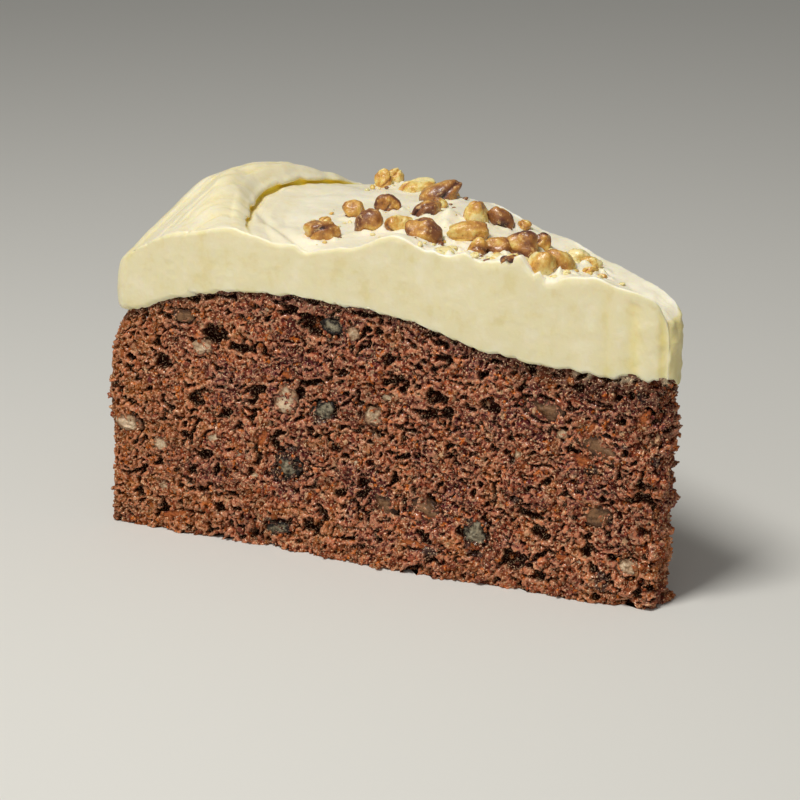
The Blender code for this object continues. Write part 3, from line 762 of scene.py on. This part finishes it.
def crumb_relief(p, cut, front):
    """How far the crumb stands out from its wall, and what its colour follows. It is lumps of three
    sizes, the cells of scattered points, each at its own height and domed, with noise on them; then torn
    holes of four sizes where fractal noise passes a limit, and the front cut's large holes, the seats of
    its fruit and nuts, and torn skins. cut is 1 on a cut face and 0 on the baked rim."""
    warp = p + 0.3 * noise_vector(p, 0.9, 11) + 0.9 * noise_vector(p, 4.0, 21)
    relief = CRUMB_LEVEL + layers(p, (0.6, 9.0, 61), (0.16, 0.4, 71))
    owners = []
    for size, step, dome, gap, gap_width, seed, bend, bend_size, bend_seed in LUMPS:
        near, far, owner = cells(warp + bend * noise_vector(p, bend_size, bend_seed), size, seed)
        relief = relief + step * (owner - 0.5) - dome * near**2 - gap * bell(far - near, gap_width)
        owners.append(owner)
    clump, _, grain = owners
    nothing = np.zeros_like(relief)
    holes = nothing
    for size, limit, slope, depth, seed in TORN_HOLES:
        holes = holes + depth * smooth((rough(warp * (1, 1, 1.25), size, seed) - limit) / slope)
    distance = (TIP_X - p[..., 0]) / math.cos(HALF_ANGLE)
    height = p[..., 2]
    ragged = layers(p, (0.5, 1.5, 101), (0.3, 0.6, 102))
    for *place, depth in FRONT_HOLES:
        away = oval(distance, height, *place) + ragged
        holes = np.maximum(holes, front * depth * smooth((1.1 - away) / 0.35))
    seat, gap, skin = nothing, nothing, nothing
    loose = front * smooth(2.5 * noise(p, 3.0, 103))
    for kind, at, level, long, thick, turn in FRONT_FRUIT:
        away = oval(distance, height, at, level, long / 2, thick / 2, turn)
        seat = np.maximum(seat, front * smooth((0.9 + 0.8 * ragged - away) / 0.3))
        gap = np.maximum(gap, loose * bell(away - 1.12, 0.14))
        if kind == "raisin":
            skin = np.maximum(skin, front * smooth((1.35 - away + ragged) / 0.25))
    for place in FRONT_SKIN:
        away = oval(distance, height, *place) + 1.4 * ragged
        skin = np.maximum(skin, front * smooth((1.1 - away) / 0.4))
    holes = np.minimum(np.maximum(holes, 1.3 * gap), DEEPEST_HOLE) * (0.12 + 0.88 * cut) * (1 - seat)
    crag = layers(warp, (1.1, 3.4, 151), (0.6, 1.7, 152)) + 0.9 * (clump - 0.5) - 0.35
    craggy = 0.95 * smooth((11 - distance) / 9) + 0.5 * cut * smooth((5 - height) / 5)
    relief = (0.45 + 0.55 * cut) * (relief + crag * craggy) - holes - 0.5 * seat
    gold = smooth((distance - 78) / 32 + 0.35 * noise(p, 7.0, 161))
    gold = gold + 0.7 * smooth((12 - height) / 12 + 0.5 * noise(p, 5.0, 162))
    # the depth of the holes is handed on as painted shade for the material
    fields = {"hollow": holes, "clump": clump, "grain": grain, "gold": gold, "skin": skin}
    return relief + front * flare(distance, height), fields


def blurred(values, reach):
    """Mean of a grid's values over a square of 2 reach + 1 cells, by running sums; the border repeats."""
    window = 2 * reach + 1
    for axis in (0, 1):
        pad = [(0, 0), (0, 0)]
        pad[axis] = (reach + 1, reach)
        first = np.arange(values.shape[axis])
        total = np.cumsum(np.pad(values, pad, mode="edge"), axis=axis)
        values = (np.take(total, first + window, axis) - np.take(total, first, axis)) / window
    return values


def make_sponge_wall(name, u, v, front, finish):
    """One wall of the sponge: a grid over its border stretch (u, v) and its height, moved along its
    normals by the crumb's relief and a little sideways, closed by fans to the slice's inner axis."""
    level = np.linspace(0, 1, SPONGE_ROWS + 1)[:, None]
    grid = wall_point(u, v, level)
    normal = surface_normals(grid)
    rimness = smooth((u - 0.965) / 0.03) * smooth((1.02 - np.abs(v)) / 0.06)
    cut = np.broadcast_to(1 - rimness, grid.shape[:2])
    relief, attributes = crumb_relief(grid, cut, np.broadcast_to(front, grid.shape[:2]))
    aside = (0.22 * noise_vector(grid, 0.9, 111) + 0.1 * noise_vector(grid, 0.4, 114)) * cut[..., None]
    aside[..., 2] *= smooth(level / 0.05) * smooth((1 - level) / 0.05)
    aside = aside - np.sum(aside * normal, axis=-1, keepdims=True) * normal
    points = grid + normal * (relief * smooth((1 - level) / 0.05))[..., None] + aside
    points[0, :, 2] = 0
    points[..., 2] = np.maximum(points[..., 2], 0)
    distance = np.hypot(TIP_X - grid[..., 0], grid[..., 1])
    below = np.clip(grid[-1:, :, 2] - grid[..., 2], 0, None)
    wet = 2.1 + 3.6 * smooth((48 - distance) / 40) + 0.8 * noise(grid, 5.0, 181)
    smear = smooth((layers(grid, (1.0, 2.4, 191), (0.4, 0.8, 192)) - 0.1) / 0.4)
    attributes.update({
        # height above the neighbourhood, for painted highlight on raised bits, painted shade in dips, and
        # coat
        "ridge": np.clip((relief - blurred(relief, 4)) / 0.26, -1, 1),
        "crust": 1 - cut,
        "moist": smooth(1.5 - below / wet),
        "smear": smear * smooth((24 - distance) / 10) * smooth(1.5 - below / 1.7),
    })
    attributes = {key: np.append(value.ravel(), [0.5, 0.5]) for key, value in attributes.items()}
    index = np.arange(cut.size).reshape(cut.shape)
    low, high = index.size, index.size + 1
    axis = [[AXIS_X, AXIS_Y, 0], [AXIS_X, AXIS_Y, sponge_top(AXIS_X, AXIS_Y)]]
    points = np.concatenate([points.reshape(-1, 3), axis])
    half = len(index) // 2
    fans = [fan(index[0], low), fan(index[-1], high)[:, ::-1]]
    for line, turn in ((index[:, 0], -1), (index[:, -1], 1)):
        parts = fan(line[: half + 1], low), fan(line[half:], high), np.array([[low, high, line[half]]])
        fans += [part[:, ::turn] for part in parts]
    piece = make_piece(name, points, grid_quads(index), np.concatenate(fans), attributes, finish, "sponge")
    return piece, points[: index.size].reshape(grid.shape), normal


def make_sponge():
    """The sponge's walls: the front cut's two halves with the tip, the back cut and the rim. Neighbours
    share a border column of the same points."""
    finish = crumb_material()
    half = np.linspace(1, 0.5, CUT_COLUMNS + 1)
    rest = np.linspace(0.5, 0, CUT_COLUMNS - 2 * TIP_COLUMNS + 1)
    tip_u = np.concatenate([rest, np.zeros(2 * TIP_COLUMNS)])
    tip_v = np.concatenate([-np.ones_like(rest), np.linspace(-1, 1, 2 * TIP_COLUMNS + 1)[1:]])
    # the front cut's relief fades out over the first columns of the tip
    fading = np.linspace(1, 0, 12)
    tip_front = np.concatenate([np.ones_like(rest), fading, np.zeros(2 * TIP_COLUMNS - len(fading))])
    back = np.linspace(0, 1, BACK_COLUMNS + 1)
    rim = np.linspace(1, -1, RIM_COLUMNS + 1)
    walls = [
        make_sponge_wall("sponge_front_cut", half, -np.ones_like(half), np.ones_like(half), finish),
        make_sponge_wall("sponge_tip", tip_u, tip_v, tip_front, finish),
        make_sponge_wall("sponge_back_cut", back, np.ones_like(back), np.zeros_like(back), finish),
        make_sponge_wall("sponge_rim", np.ones_like(rim), rim, np.zeros_like(rim), finish),
    ]
    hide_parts("sponge")
    return walls, finish


def border(across, long):
    """Grid indices of the border, going round against the clock as seen from above."""
    front = [(i, 0) for i in range(long, 0, -1)]
    tip = [(0, j) for j in range(across)]
    back = [(i, across) for i in range(long)]
    rim = [(long, j) for j in range(across, 0, -1)]
    return np.array(front + tip + back + rim)


def frosting_grid():
    """Shares along and across the slice of the top's grid, whose lines gather at the crease."""
    t = np.linspace(-1, 1, FROSTING_ACROSS + 1)
    v = 0.45 * t + 0.55 * np.sin(t * math.pi / 2)
    crease = np.clip(crease_radius(v * np.degrees(HALF_ANGLE)) / FROSTING_LENGTH, *CREASE_SHARES)
    before, beyond = crease - LINES_BEFORE / FROSTING_LENGTH, crease + LINES_BEYOND / FROSTING_LENGTH
    inner = np.linspace(0, 1, FROSTING_ALONG_INNER + 1)[:-1, None] ** 0.97
    middle = np.linspace(0, 1, FROSTING_ALONG_CREASE + 1)[:-1, None]
    outer = np.linspace(0, 1, FROSTING_ALONG_OUTER + 1)[:, None]
    bands = ((0, before, inner), (before, beyond, middle), (beyond, 1, outer))
    u = np.concatenate([start + (end - start) * share for start, end, share in bands])
    return u, np.broadcast_to(v, u.shape)


def frosting_surface(u, v):
    """The frosting's top, its painted shade and its painted light: its height with the spatula's marks and
    grooves, the edge of a stroke, frosting pushed up round the nuts, the slit below the fold, and soft
    lips along the cuts. The painted shade is a deeper yellow in the slit and the grooves; the painted
    light makes the top paler, most on raised lips and within the crease."""
    x, y = plan(u, v, FROSTING_TIP_ROUND, FROSTING_LENGTH, FROSTING_TIP_CORNER, FROSTING_CORNER)
    r, angle = polar(x, y)
    crease = crease_radius(angle)
    off = r - crease
    strength = fold_strength(angle)
    flat = np.stack([x, y, np.zeros_like(x)], axis=-1)
    # spatula marks run along the crease: long across the slice, short from the tip to the rim
    mark = r - CREASE_AT - np.exp(-np.clip(off, 0, None) / 4) * (crease - CREASE_AT)
    swirl = np.stack([mark, angle * 1.6, np.zeros_like(off)], axis=-1)
    lobe = 0.3 + 0.7 * smooth((off + 16) / 14)
    fold_side = smooth((off - 0.5) / 3)
    groove = (1 - np.abs(noise(swirl, (2.4, 30.0, 1.0), 205))) ** 5
    groove = groove + 0.5 * (1 - np.abs(noise(swirl, (1.0, 14.0, 1.0), 204))) ** 4
    marks = layers(swirl, (0.08, (1.2, 16.0, 1.0), 201), (0.2, (3.6, 28.0, 1.0), 202))
    z = frosting_top(x, y) + lobe * (marks - (0.15 + 0.2 * fold_side) * groove)
    stroke = r - STROKE_AT - STROKE_SLOPE * (angle - STROKE_FROM)
    stroke_edge = 0.5 * bell(stroke - 3.0, 2.2) - 0.6 * bell(stroke, 1.8)
    z = z + smooth((STROKE_FROM + 3 - angle) / 4) * stroke_edge
    z = z + layers(flat, (0.4, 8.0, 203), (0.14, 3.0, 215), (0.05, 1.1, 208))
    z = z + 0.4 * noise(flat, 2.2, 217) * smooth((15 - r) / 8)
    pushed = 0.3 + 0.5 * noise(flat, 1.1, 209)
    for at, turn, length, depth, *_ in NUTS:
        nut_x, nut_y = slice_point(at, turn)
        away = np.hypot(x - nut_x, y - nut_y) - (length + depth) / 4.4
        z = z + pushed * bell(away - 0.5, 0.8)
    # near the crease the lines follow the slit: under the lip, back along its underside and over it
    slit_at, slit_across, slit_height = np.array(SLIT).T
    share = smooth(strength * 2.2) * (1 + 0.35 * np.clip(noise(swirl, (30.0, 2.4, 1.0), 210), -1, 0.2))
    inside = share * smooth((off + 1.2) / 0.4) * smooth((4.0 - off) / 1.4)
    foot_x, foot_y = slice_point(crease, angle)
    slit_z = frosting_top(foot_x + 1.2, foot_y) + 0.12 * noise(flat, 2.0, 213)
    slit_z = slit_z + strength**0.5 * np.interp(off, slit_at, slit_height)
    z = z + inside * (slit_z - z)
    shift = inside * (np.interp(off, slit_at, slit_across) - off)
    x = x - shift * np.cos(np.radians(angle))
    y = y + shift * np.sin(np.radians(angle))
    # painted shade: deeper yellow in the slit under the fold's lip and along the spatula grooves
    hollow = share * bell(off - 0.6, 0.7) + (0.05 + 0.08 * fold_side) * lobe * groove
    edge_gap = (1 - np.abs(v)) * (TIP_WIDTH + (RIM_WIDTH - TIP_WIDTH) * u) / 2
    lip = 0.04 + 0.4 * np.clip(layers(flat, (1.0, 4.0, 206), (0.4, 1.2, 207)), 0, 1)
    lip = lip + 0.35 * bell(r - 91.5, 4.0) * np.clip(0.5 + noise(flat, 1.5, 218), 0, 1)
    z = z + np.where(v < 0, 1.0, 0.6) * lip * bell(edge_gap, 0.6)
    # painted light: paler along raised lips by the cuts, a little over the whole top, more within the
    # crease
    pale = bell(edge_gap - 0.2, 0.5) * smooth(2.2 * lip - 0.1) + 0.22 + 0.28 * smooth((-off - 4) / 8)
    return np.stack([x, y, z], axis=-1), hollow, pale


def frosting_wall(u, v, head):
    """The frosting's side below its top's border points, and its painted shade, a deeper yellow in the
    knife's streaks and on the tip's end face: it bulges at the rim, is cut straight along the cuts with
    streaks of the knife by the tip, and is torn at the tip."""
    along = u * FROSTING_LENGTH
    foot_x, foot_y = plan(u, v, 0.0, FROSTING_LENGTH, FROSTING_TIP_CORNER, FROSTING_CORNER)
    foot = np.stack([foot_x, foot_y, np.zeros_like(foot_x)], axis=-1)
    low = sponge_top(foot_x, foot_y) - FROSTING_SEAT + layers(foot, (0.4, 2.5, 211), (0.25, 0.8, 212))
    low = low - 1.3 * smooth((26 - along) / 12) * np.clip(noise(foot, 3.2, 216), 0, 1)
    level = np.linspace(0, 1, FROSTING_ROWS + 1)[:-1, None]
    level = level + 0.06 * np.sin(2 * math.pi * level)
    swell = (1 - np.abs(2 * level**BULGE_SKEW - 1) ** BULGE_POWER) ** (1 / BULGE_POWER)
    start, length = FROSTING_TIP_ROUND * level**6, FROSTING_LENGTH + FROSTING_BULGE * swell
    x, y = plan(u, v, start, length, FROSTING_TIP_CORNER, FROSTING_CORNER)
    wall = np.stack([x, y, low + level * (head[:, 2] - low)], axis=-1)
    wall = np.concatenate([wall, head[None]])
    outward = surface_normals(wall) * (1, 1, 0)
    level = np.concatenate([level, [[1.0]]])
    run = wall * (1, 1, 0.12)
    marks = layers(run, (0.08, 1.3, 221), (0.14, 5.0, 222))
    marks = marks + layers(wall, (0.25, 13.0, 223), (0.04, 1.0, 224))
    proud = (FROSTING_PROUD + marks) * smooth((1 - level) / 0.08) + 0.12 * smooth((level - 0.9) / 0.1)
    arc = along + 9 * (v > -0.999)
    streak = sum(depth * bell(arc - at, width) for depth, at, width in KNIFE_STREAKS)
    streak = streak * smooth((0.92 - level) / 0.12)
    torn = smooth((12 - along) / 8) * layers(wall, (0.14, 2.2, 225), (0.06, 0.9, 226))
    face = smooth((2.5 - along) / 2.5) * smooth((v + 1) / 0.15)
    ragged = face * np.maximum(layers(wall, (0.4, 2.4, 227), (0.18, 1.0, 228)), -0.15)
    torn = torn * smooth(level / 0.05) + ragged * smooth(level / 0.25)
    proud = proud - 0.35 * streak + torn * smooth((1 - level) / 0.05)
    wall = wall + outward * proud[..., None]
    # painted shade: the knife's streaks and the tip's end face are made a deeper yellow
    return wall[:-1], 0.28 * streak[:-1] + 0.2 * face


def make_frosting():
    """The frosting: its top grid, the wall round it, and a hidden underside that meets at one point."""
    u, v = frosting_grid()
    top, hollow, pale = frosting_surface(u, v)
    i, j = border(FROSTING_ACROSS, len(u) - 1).T
    wall, wall_painted_shade = frosting_wall(u[i, j], v[i, j], top[i, j])
    index = np.arange(u.size).reshape(u.shape)
    rows = np.arange(wall_painted_shade.size).reshape(wall_painted_shade.shape) + u.size
    rows = np.concatenate([rows, index[i, j][None]])
    rows = np.concatenate([rows, rows[:, :1]], axis=1)
    middle = [[AXIS_X, AXIS_Y, sponge_top(AXIS_X, AXIS_Y)]]
    points = np.concatenate([top.reshape(-1, 3), wall.reshape(-1, 3), middle])
    quads = np.concatenate([grid_quads(index), grid_quads(rows)])
    fields = {"hollow": (hollow, wall_painted_shade), "pale": (pale, 0 * wall_painted_shade), "cut": (0 * pale, 0 * wall_painted_shade + 1)}
    fields = {key: np.concatenate([*map(np.ravel, parts), [0.0]]) for key, parts in fields.items()}
    cap = fan(rows[0], len(points) - 1)
    piece = make_piece("frosting_layer", points, quads, cap, fields, frosting_material(), "frosting")
    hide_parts("frosting")


def ball(rings, sides):
    """Unit directions of a ball's grid with one point at each pole, with its quads and triangles."""
    from_pole = np.linspace(0, math.pi, rings + 1)[1:-1]
    turn = np.arange(sides) * 2 * math.pi / sides
    a, b = np.meshgrid(from_pole, turn, indexing="ij")
    body = np.stack([np.sin(a) * np.cos(b), np.sin(a) * np.sin(b), np.cos(a)], axis=-1).reshape(-1, 3)
    points = np.concatenate([body, [[0, 0, 1], [0, 0, -1]]])
    index = np.arange(len(body)).reshape(rings - 1, sides)
    index = np.concatenate([index, index[:, :1]], axis=1)
    caps = fan(index[0], len(body))[:, ::-1], fan(index[-1], len(body) + 1)
    return points, grid_quads(index)[:, ::-1], np.concatenate(caps)


def turned(points, turn, lean):
    """Turns points by lean about the viewing direction of the photograph, then by turn about the
    vertical, in radians."""
    rolled = np.array(Matrix.Rotation(turn, 3, "Z") @ Matrix.Rotation(lean, 3, "Y"))
    return points @ rolled.T


def unit(vector):
    """The vector at length 1."""
    return vector / np.linalg.norm(vector)


def chopped(directions, random, cuts, low, high):
    """Radius of a chopped nut in each direction, and how flat it is there: a ball of radius 1 cut by
    random planes at distances h from low to high, as 1 / (1 + sum (d . n / h)^16)^(1/16)."""
    total = np.zeros(len(directions))
    for _ in range(cuts):
        normal = unit(random.normal(size=3))
        total += (np.clip(directions @ normal, 0, None) / random.uniform(low, high)) ** 16
    return (1 + total) ** (-1 / 16), total / (1 + total)


def join_pieces(parts):
    """Joins (points, quads, triangles, attributes) of many small things into one set of arrays."""
    points, quads, triangles, attributes, count = [], [], [], {}, 0
    for p, q, t, a in parts:
        points.append(p)
        quads.append(q + count)
        triangles.append(t + count)
        for key, value in a.items():
            attributes.setdefault(key, []).append(value)
        count += len(p)
    attributes = {key: np.concatenate(value) for key, value in attributes.items()}
    return np.concatenate(points), np.concatenate(quads), np.concatenate(triangles), attributes


def make_nuts():
    """The chopped nuts: balls cut by planes, creased between their two halves and dented by noise, sunk
    into the frosting."""
    random = np.random.default_rng(11)
    directions, quads, triangles = ball(30, 42)
    parts = []
    for r, angle, length, depth, height, lean, roast in NUTS:
        x, y = slice_point(r, angle)
        z = frosting_top(x, y) + (0.5 - NUT_SINK) * height
        radius, flat = chopped(directions, random, 4, 0.6, 0.95)
        seed = int(random.integers(1000))
        way = unit(random.normal(size=3))
        split = unit(np.cross(way, random.normal(size=3)))
        seam = bell(directions @ way + 0.12 * noise(directions, 0.6, seed + 5), 0.13)
        seam = seam * smooth(directions @ split * 1.4 + 0.4)
        radius = radius * (1 + layers(directions, (0.1, 0.7, seed), (0.05, 0.3, seed + 1)) - 0.2 * seam)
        wrinkle = (1 - np.abs(noise(directions * (1, 1, 0.6), 0.45, seed + 6))) ** 3
        radius = radius * (1 + 0.02 * noise(directions, 0.12, seed + 7) - 0.07 * wrinkle)
        shape = NUT_SWELL * directions * radius[:, None] * (length / 2, depth / 2, height / 2)
        shape = turned(shape, math.radians(CAMERA_AZIMUTH), -math.radians(lean))
        tone = roast + 0.3 * noise(directions, 0.9, seed + 2) - 0.45 * flat * roast
        tone = tone + 0.3 * seam + 0.15 * wrinkle
        parts.append((shape + (x, y, z), quads, triangles, {"roast": tone}))
    return make_piece("chopped_nuts", *join_pieces(parts), nut_material(), "nuts")


def make_nut_crumbs(finish):
    """Small flakes and crumbs of the nuts, scattered round them: flat balls cut by planes."""
    random = np.random.default_rng(23)
    directions, quads, triangles = ball(6, 8)
    parts = []
    for _ in range(NUT_CRUMBS):
        x, y = slice_point(*NUTS[random.integers(len(NUTS))][:2])
        x = x + random.normal() * NUT_CRUMB_SPREAD
        y = y + random.normal() * NUT_CRUMB_SPREAD
        at, turn = polar(x, y)
        size = random.uniform(0.35, 1.0) ** 2 * 1.8
        turning, lean = random.uniform(0, 2 * math.pi), random.uniform(-0.5, 0.5)
        radius, _ = chopped(directions, random, 3, 0.5, 0.9)
        tone = np.full(len(directions), random.choice([-0.3, -0.3, -0.1, 0.15, 0.75]))
        # none past the cuts, at the tip or on the fold
        if abs(turn) > 17.6 or at < 14 or at > 96:
            continue
        z = frosting_top(x, y) + 0.15 * size
        shape = directions * radius[:, None] * (size / 2, size * 0.36, size * 0.24)
        parts.append((turned(shape, turning, lean) + (x, y, z), quads, triangles, {"roast": tone}))
    return make_piece("nut_crumbs", *join_pieces(parts), finish, "nuts")


def make_fruit():
    """Raisins, sultanas, walnut and carrot pieces of the front cut: flattened balls, longest along the
    cut, dented by noise, nearly flush with the crumb; walnuts are also cut by planes."""
    # by kind: material, roughness, size of its fibres, slot, colours from the middle to the skin
    looks = {
        # grey, waxy flesh that turns almost black towards a wrinkled skin
        "raisin": ("cut_raisin", 0.3, 0.9, "fruit", (
            (0.0, "#a0957c"), (0.3, "#665c48"), (0.5, "#2a211a"), (0.7, "#120806"),
        )),
        # moist, glassy amber-brown flesh
        "sultana": ("cut_sultana", 0.25, 1.2, "fruit", (
            (0.0, "#876242"), (0.35, "#61422a"), (0.7, "#482c1a"), (1.0, "#2c160c"),
        )),
        # pale, dull kernel with a thin brown skin
        "walnut": ("walnut_piece", 0.35, 1.1, "nuts", (
            (0.0, "#dec4a2"), (0.35, "#b89674"), (0.7, "#8a6448"), (1.0, "#5a3320"),
        )),
        # orange root, browned by baking
        "carrot": ("carrot_shred", 0.35, 0.8, "fruit", (
            (0.1, "#b8642e"), (0.6, "#95481f"), (0.95, "#5a2512"),
        )),
    }
    random = np.random.default_rng(5)
    directions, quads, triangles = ball(26, 38)
    across = np.hypot(directions[:, 0], directions[:, 1])
    right = np.array([math.cos(HALF_ANGLE), math.sin(HALF_ANGLE), 0.0])
    up = np.array([0.0, 0.0, 1.0])
    kinds = {kind: [] for kind in looks}
    for kind, distance, height, long, thick, turn in FRONT_FRUIT:
        place, normal = front_point(distance, height)
        c, s = math.cos(math.radians(turn)), math.sin(math.radians(turn))
        seed = int(random.integers(1000))
        radius, _ = chopped(directions, random, 5, 0.7, 1.0)
        if kind != "walnut":
            radius = 1.0
        radius = radius * (1.04 + layers(directions, (0.3, 0.8, seed), (0.18, 0.35, seed + 1)))
        shape = directions * radius[:, None]
        dents = layers(directions, (0.16, 0.5, seed + 2), (0.12, 0.2, seed + 3))
        out = (np.minimum(shape[:, 2], dents) - 0.16 * across**2) * min(long, thick) / 2
        points = place + shape[:, :1] * long / 2 * (right * c + up * s) + out[:, None] * normal
        points = points + shape[:, 1:2] * thick / 2 * (up * c - right * s)
        edge = across**2.2 * (0.85 + 0.6 * noise(directions, 0.8, seed + 4))
        kinds[kind].append((points, quads, triangles, {"edge": edge}))
    for kind, (name, roughness, grain, slot, stops) in looks.items():
        finish = inclusion_material(name, stops, roughness, grain)
        make_piece(f"{kind}_pieces", *join_pieces(kinds[kind]), finish, slot)


def crumb_place(walls, random):
    """A place for a loose crumb, its normal and its size: on any wall, or near the tip, or round a piece
    of fruit."""
    draw = random.uniform()
    _, grid, normal = walls[int(random.choice(len(walls), p=(0.3, 0.3, 0.25, 0.15)))]
    row = int(grid.shape[0] * random.uniform(0.01, 0.97) ** random.choice([1.0, 1.0, 2.5]))
    column = int(random.integers(grid.shape[1]))
    size = 0.5 + 1.1 * random.uniform() ** 3
    if draw < 0.12:
        _, grid, normal = walls[1]
        column = int(grid.shape[1] - 1 - TIP_COLUMNS * 2.6 * random.uniform())
        size = 0.5 + 0.9 * random.uniform() ** 2
    if draw > 0.9:
        _, at, level, long, thick, turn = FRONT_FRUIT[int(random.integers(len(FRONT_FRUIT)))]
        way = random.uniform(0, 2 * math.pi)
        c, s = math.cos(math.radians(turn)), math.sin(math.radians(turn))
        right, up = math.cos(way) * long * 0.54, math.sin(way) * thick * 0.54
        place, out = front_point(at - right * c + up * s, level + up * c + right * s)
        return place - 0.1 * out, out, random.uniform(0.5, 1.1)
    return grid[row, column], normal[row, column], size


def make_crumbs(walls, finish):
    """Loose crumbs on the sponge's walls: small balls cut by planes, more of them at the tip, along the
    lower edge and round the fruit."""
    random = np.random.default_rng(31)
    directions, quads, triangles = ball(5, 7)
    same = np.ones(len(directions))
    parts = []
    for _ in range(CAKE_CRUMBS):
        place, out, size = crumb_place(walls, random)
        radius, _ = chopped(directions, random, 3, 0.5, 0.9)
        radius = radius * random.uniform(0.6, 1.2, len(directions))
        shape = directions * radius[:, None] * size * random.uniform(0.35, 0.65, 3)
        place = place + out * size * 0.12
        place[2] = max(place[2], size * 0.75)
        attributes = {key: 0 * same for key in ("hollow", "crust", "moist", "skin", "smear")}
        attributes["clump"] = random.uniform() * same
        attributes["grain"] = random.uniform(0.2, 0.8) * same
        attributes["gold"] = random.uniform(0, 0.8) * same
        # painted highlight on the crumb's outstanding points and painted shade on its sunk ones
        attributes["ridge"] = (radius - 0.75) * 1.5
        shape = turned(shape, random.uniform(0, 6.28), random.uniform(-1, 1))
        parts.append((shape + place, quads, triangles, attributes))
    return make_piece("cake_crumbs", *join_pieces(parts), finish, "sponge")


def make_camera():
    """The camera at the photograph's angle, aimed at the slice."""
    azimuth, elevation = math.radians(CAMERA_AZIMUTH), math.radians(CAMERA_ELEVATION)
    back = Vector((
        math.sin(azimuth) * math.cos(elevation),
        -math.cos(azimuth) * math.cos(elevation),
        math.sin(elevation),
    ))
    camera = bpy.data.objects.new("camera", bpy.data.cameras.new("camera"))
    camera.data.lens = CAMERA_LENS
    camera.data.sensor_width = 36
    camera.data.clip_start = 0.01
    camera.location = Vector(CAMERA_AIM) * MM + back * CAMERA_DISTANCE * MM
    camera.rotation_mode = "QUATERNION"
    camera.rotation_quaternion = (-back).to_track_quat("-Z", "Y")
    bpy.context.scene.collection.objects.link(camera)
    bpy.context.scene.camera = camera


def make_light(name, place, size, power, colour):
    """A square soft light at a place in millimetres, turned to the middle of the slice."""
    light = bpy.data.lights.new(name, "AREA")
    light.size = size * MM
    light.energy = power
    light.color = colour
    lamp = bpy.data.objects.new(name, light)
    lamp.location = Vector(place) * MM
    lamp.rotation_mode = "QUATERNION"
    lamp.rotation_quaternion = (Vector((0, 0, 30)) - Vector(place)).to_track_quat("-Z", "Y")
    bpy.context.scene.collection.objects.link(lamp)


def make_stage():
    """Plain pale floor, soft studio lights and a pale sky."""
    mesh = bpy.data.meshes.new("floor")
    far = 4.0
    mesh.from_pydata([(-far, -far, 0), (far, -far, 0), (far, far, 0), (-far, far, 0)], [], [(0, 1, 2, 3)])
    made, _ = new_material("pale_floor")
    mesh.materials.append(finish_material(made, {"Base Color": linear("#d9d7d0"), "Roughness": 0.9}))
    floor = bpy.data.objects.new("floor", mesh)
    bpy.context.scene.collection.objects.link(floor)
    make_light("key", (0, -295, 609), 200, 3.5, (1.0, 0.99, 0.97))
    make_light("fill", (300, -560, 240), 560, 0.5, (0.98, 0.99, 1.0))
    world = bpy.data.worlds.new("sky")
    world.use_nodes = True
    world.node_tree.nodes["Background"].inputs[0].default_value = linear("#f2f2f0")
    world.node_tree.nodes["Background"].inputs[1].default_value = 0.22
    bpy.context.scene.world = world
    bpy.context.scene.view_settings.view_transform = "Standard"


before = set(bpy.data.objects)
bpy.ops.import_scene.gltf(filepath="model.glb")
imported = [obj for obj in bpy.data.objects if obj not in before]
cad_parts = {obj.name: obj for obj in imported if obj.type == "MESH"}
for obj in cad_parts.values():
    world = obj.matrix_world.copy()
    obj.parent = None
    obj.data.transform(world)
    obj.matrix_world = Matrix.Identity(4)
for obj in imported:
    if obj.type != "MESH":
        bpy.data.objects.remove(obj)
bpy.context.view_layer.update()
make_camera()
make_stage()
walls, crumb = make_sponge()
make_crumbs(walls, crumb)
make_frosting()
nuts = make_nuts()
make_nut_crumbs(nuts.data.materials[0])
make_fruit()
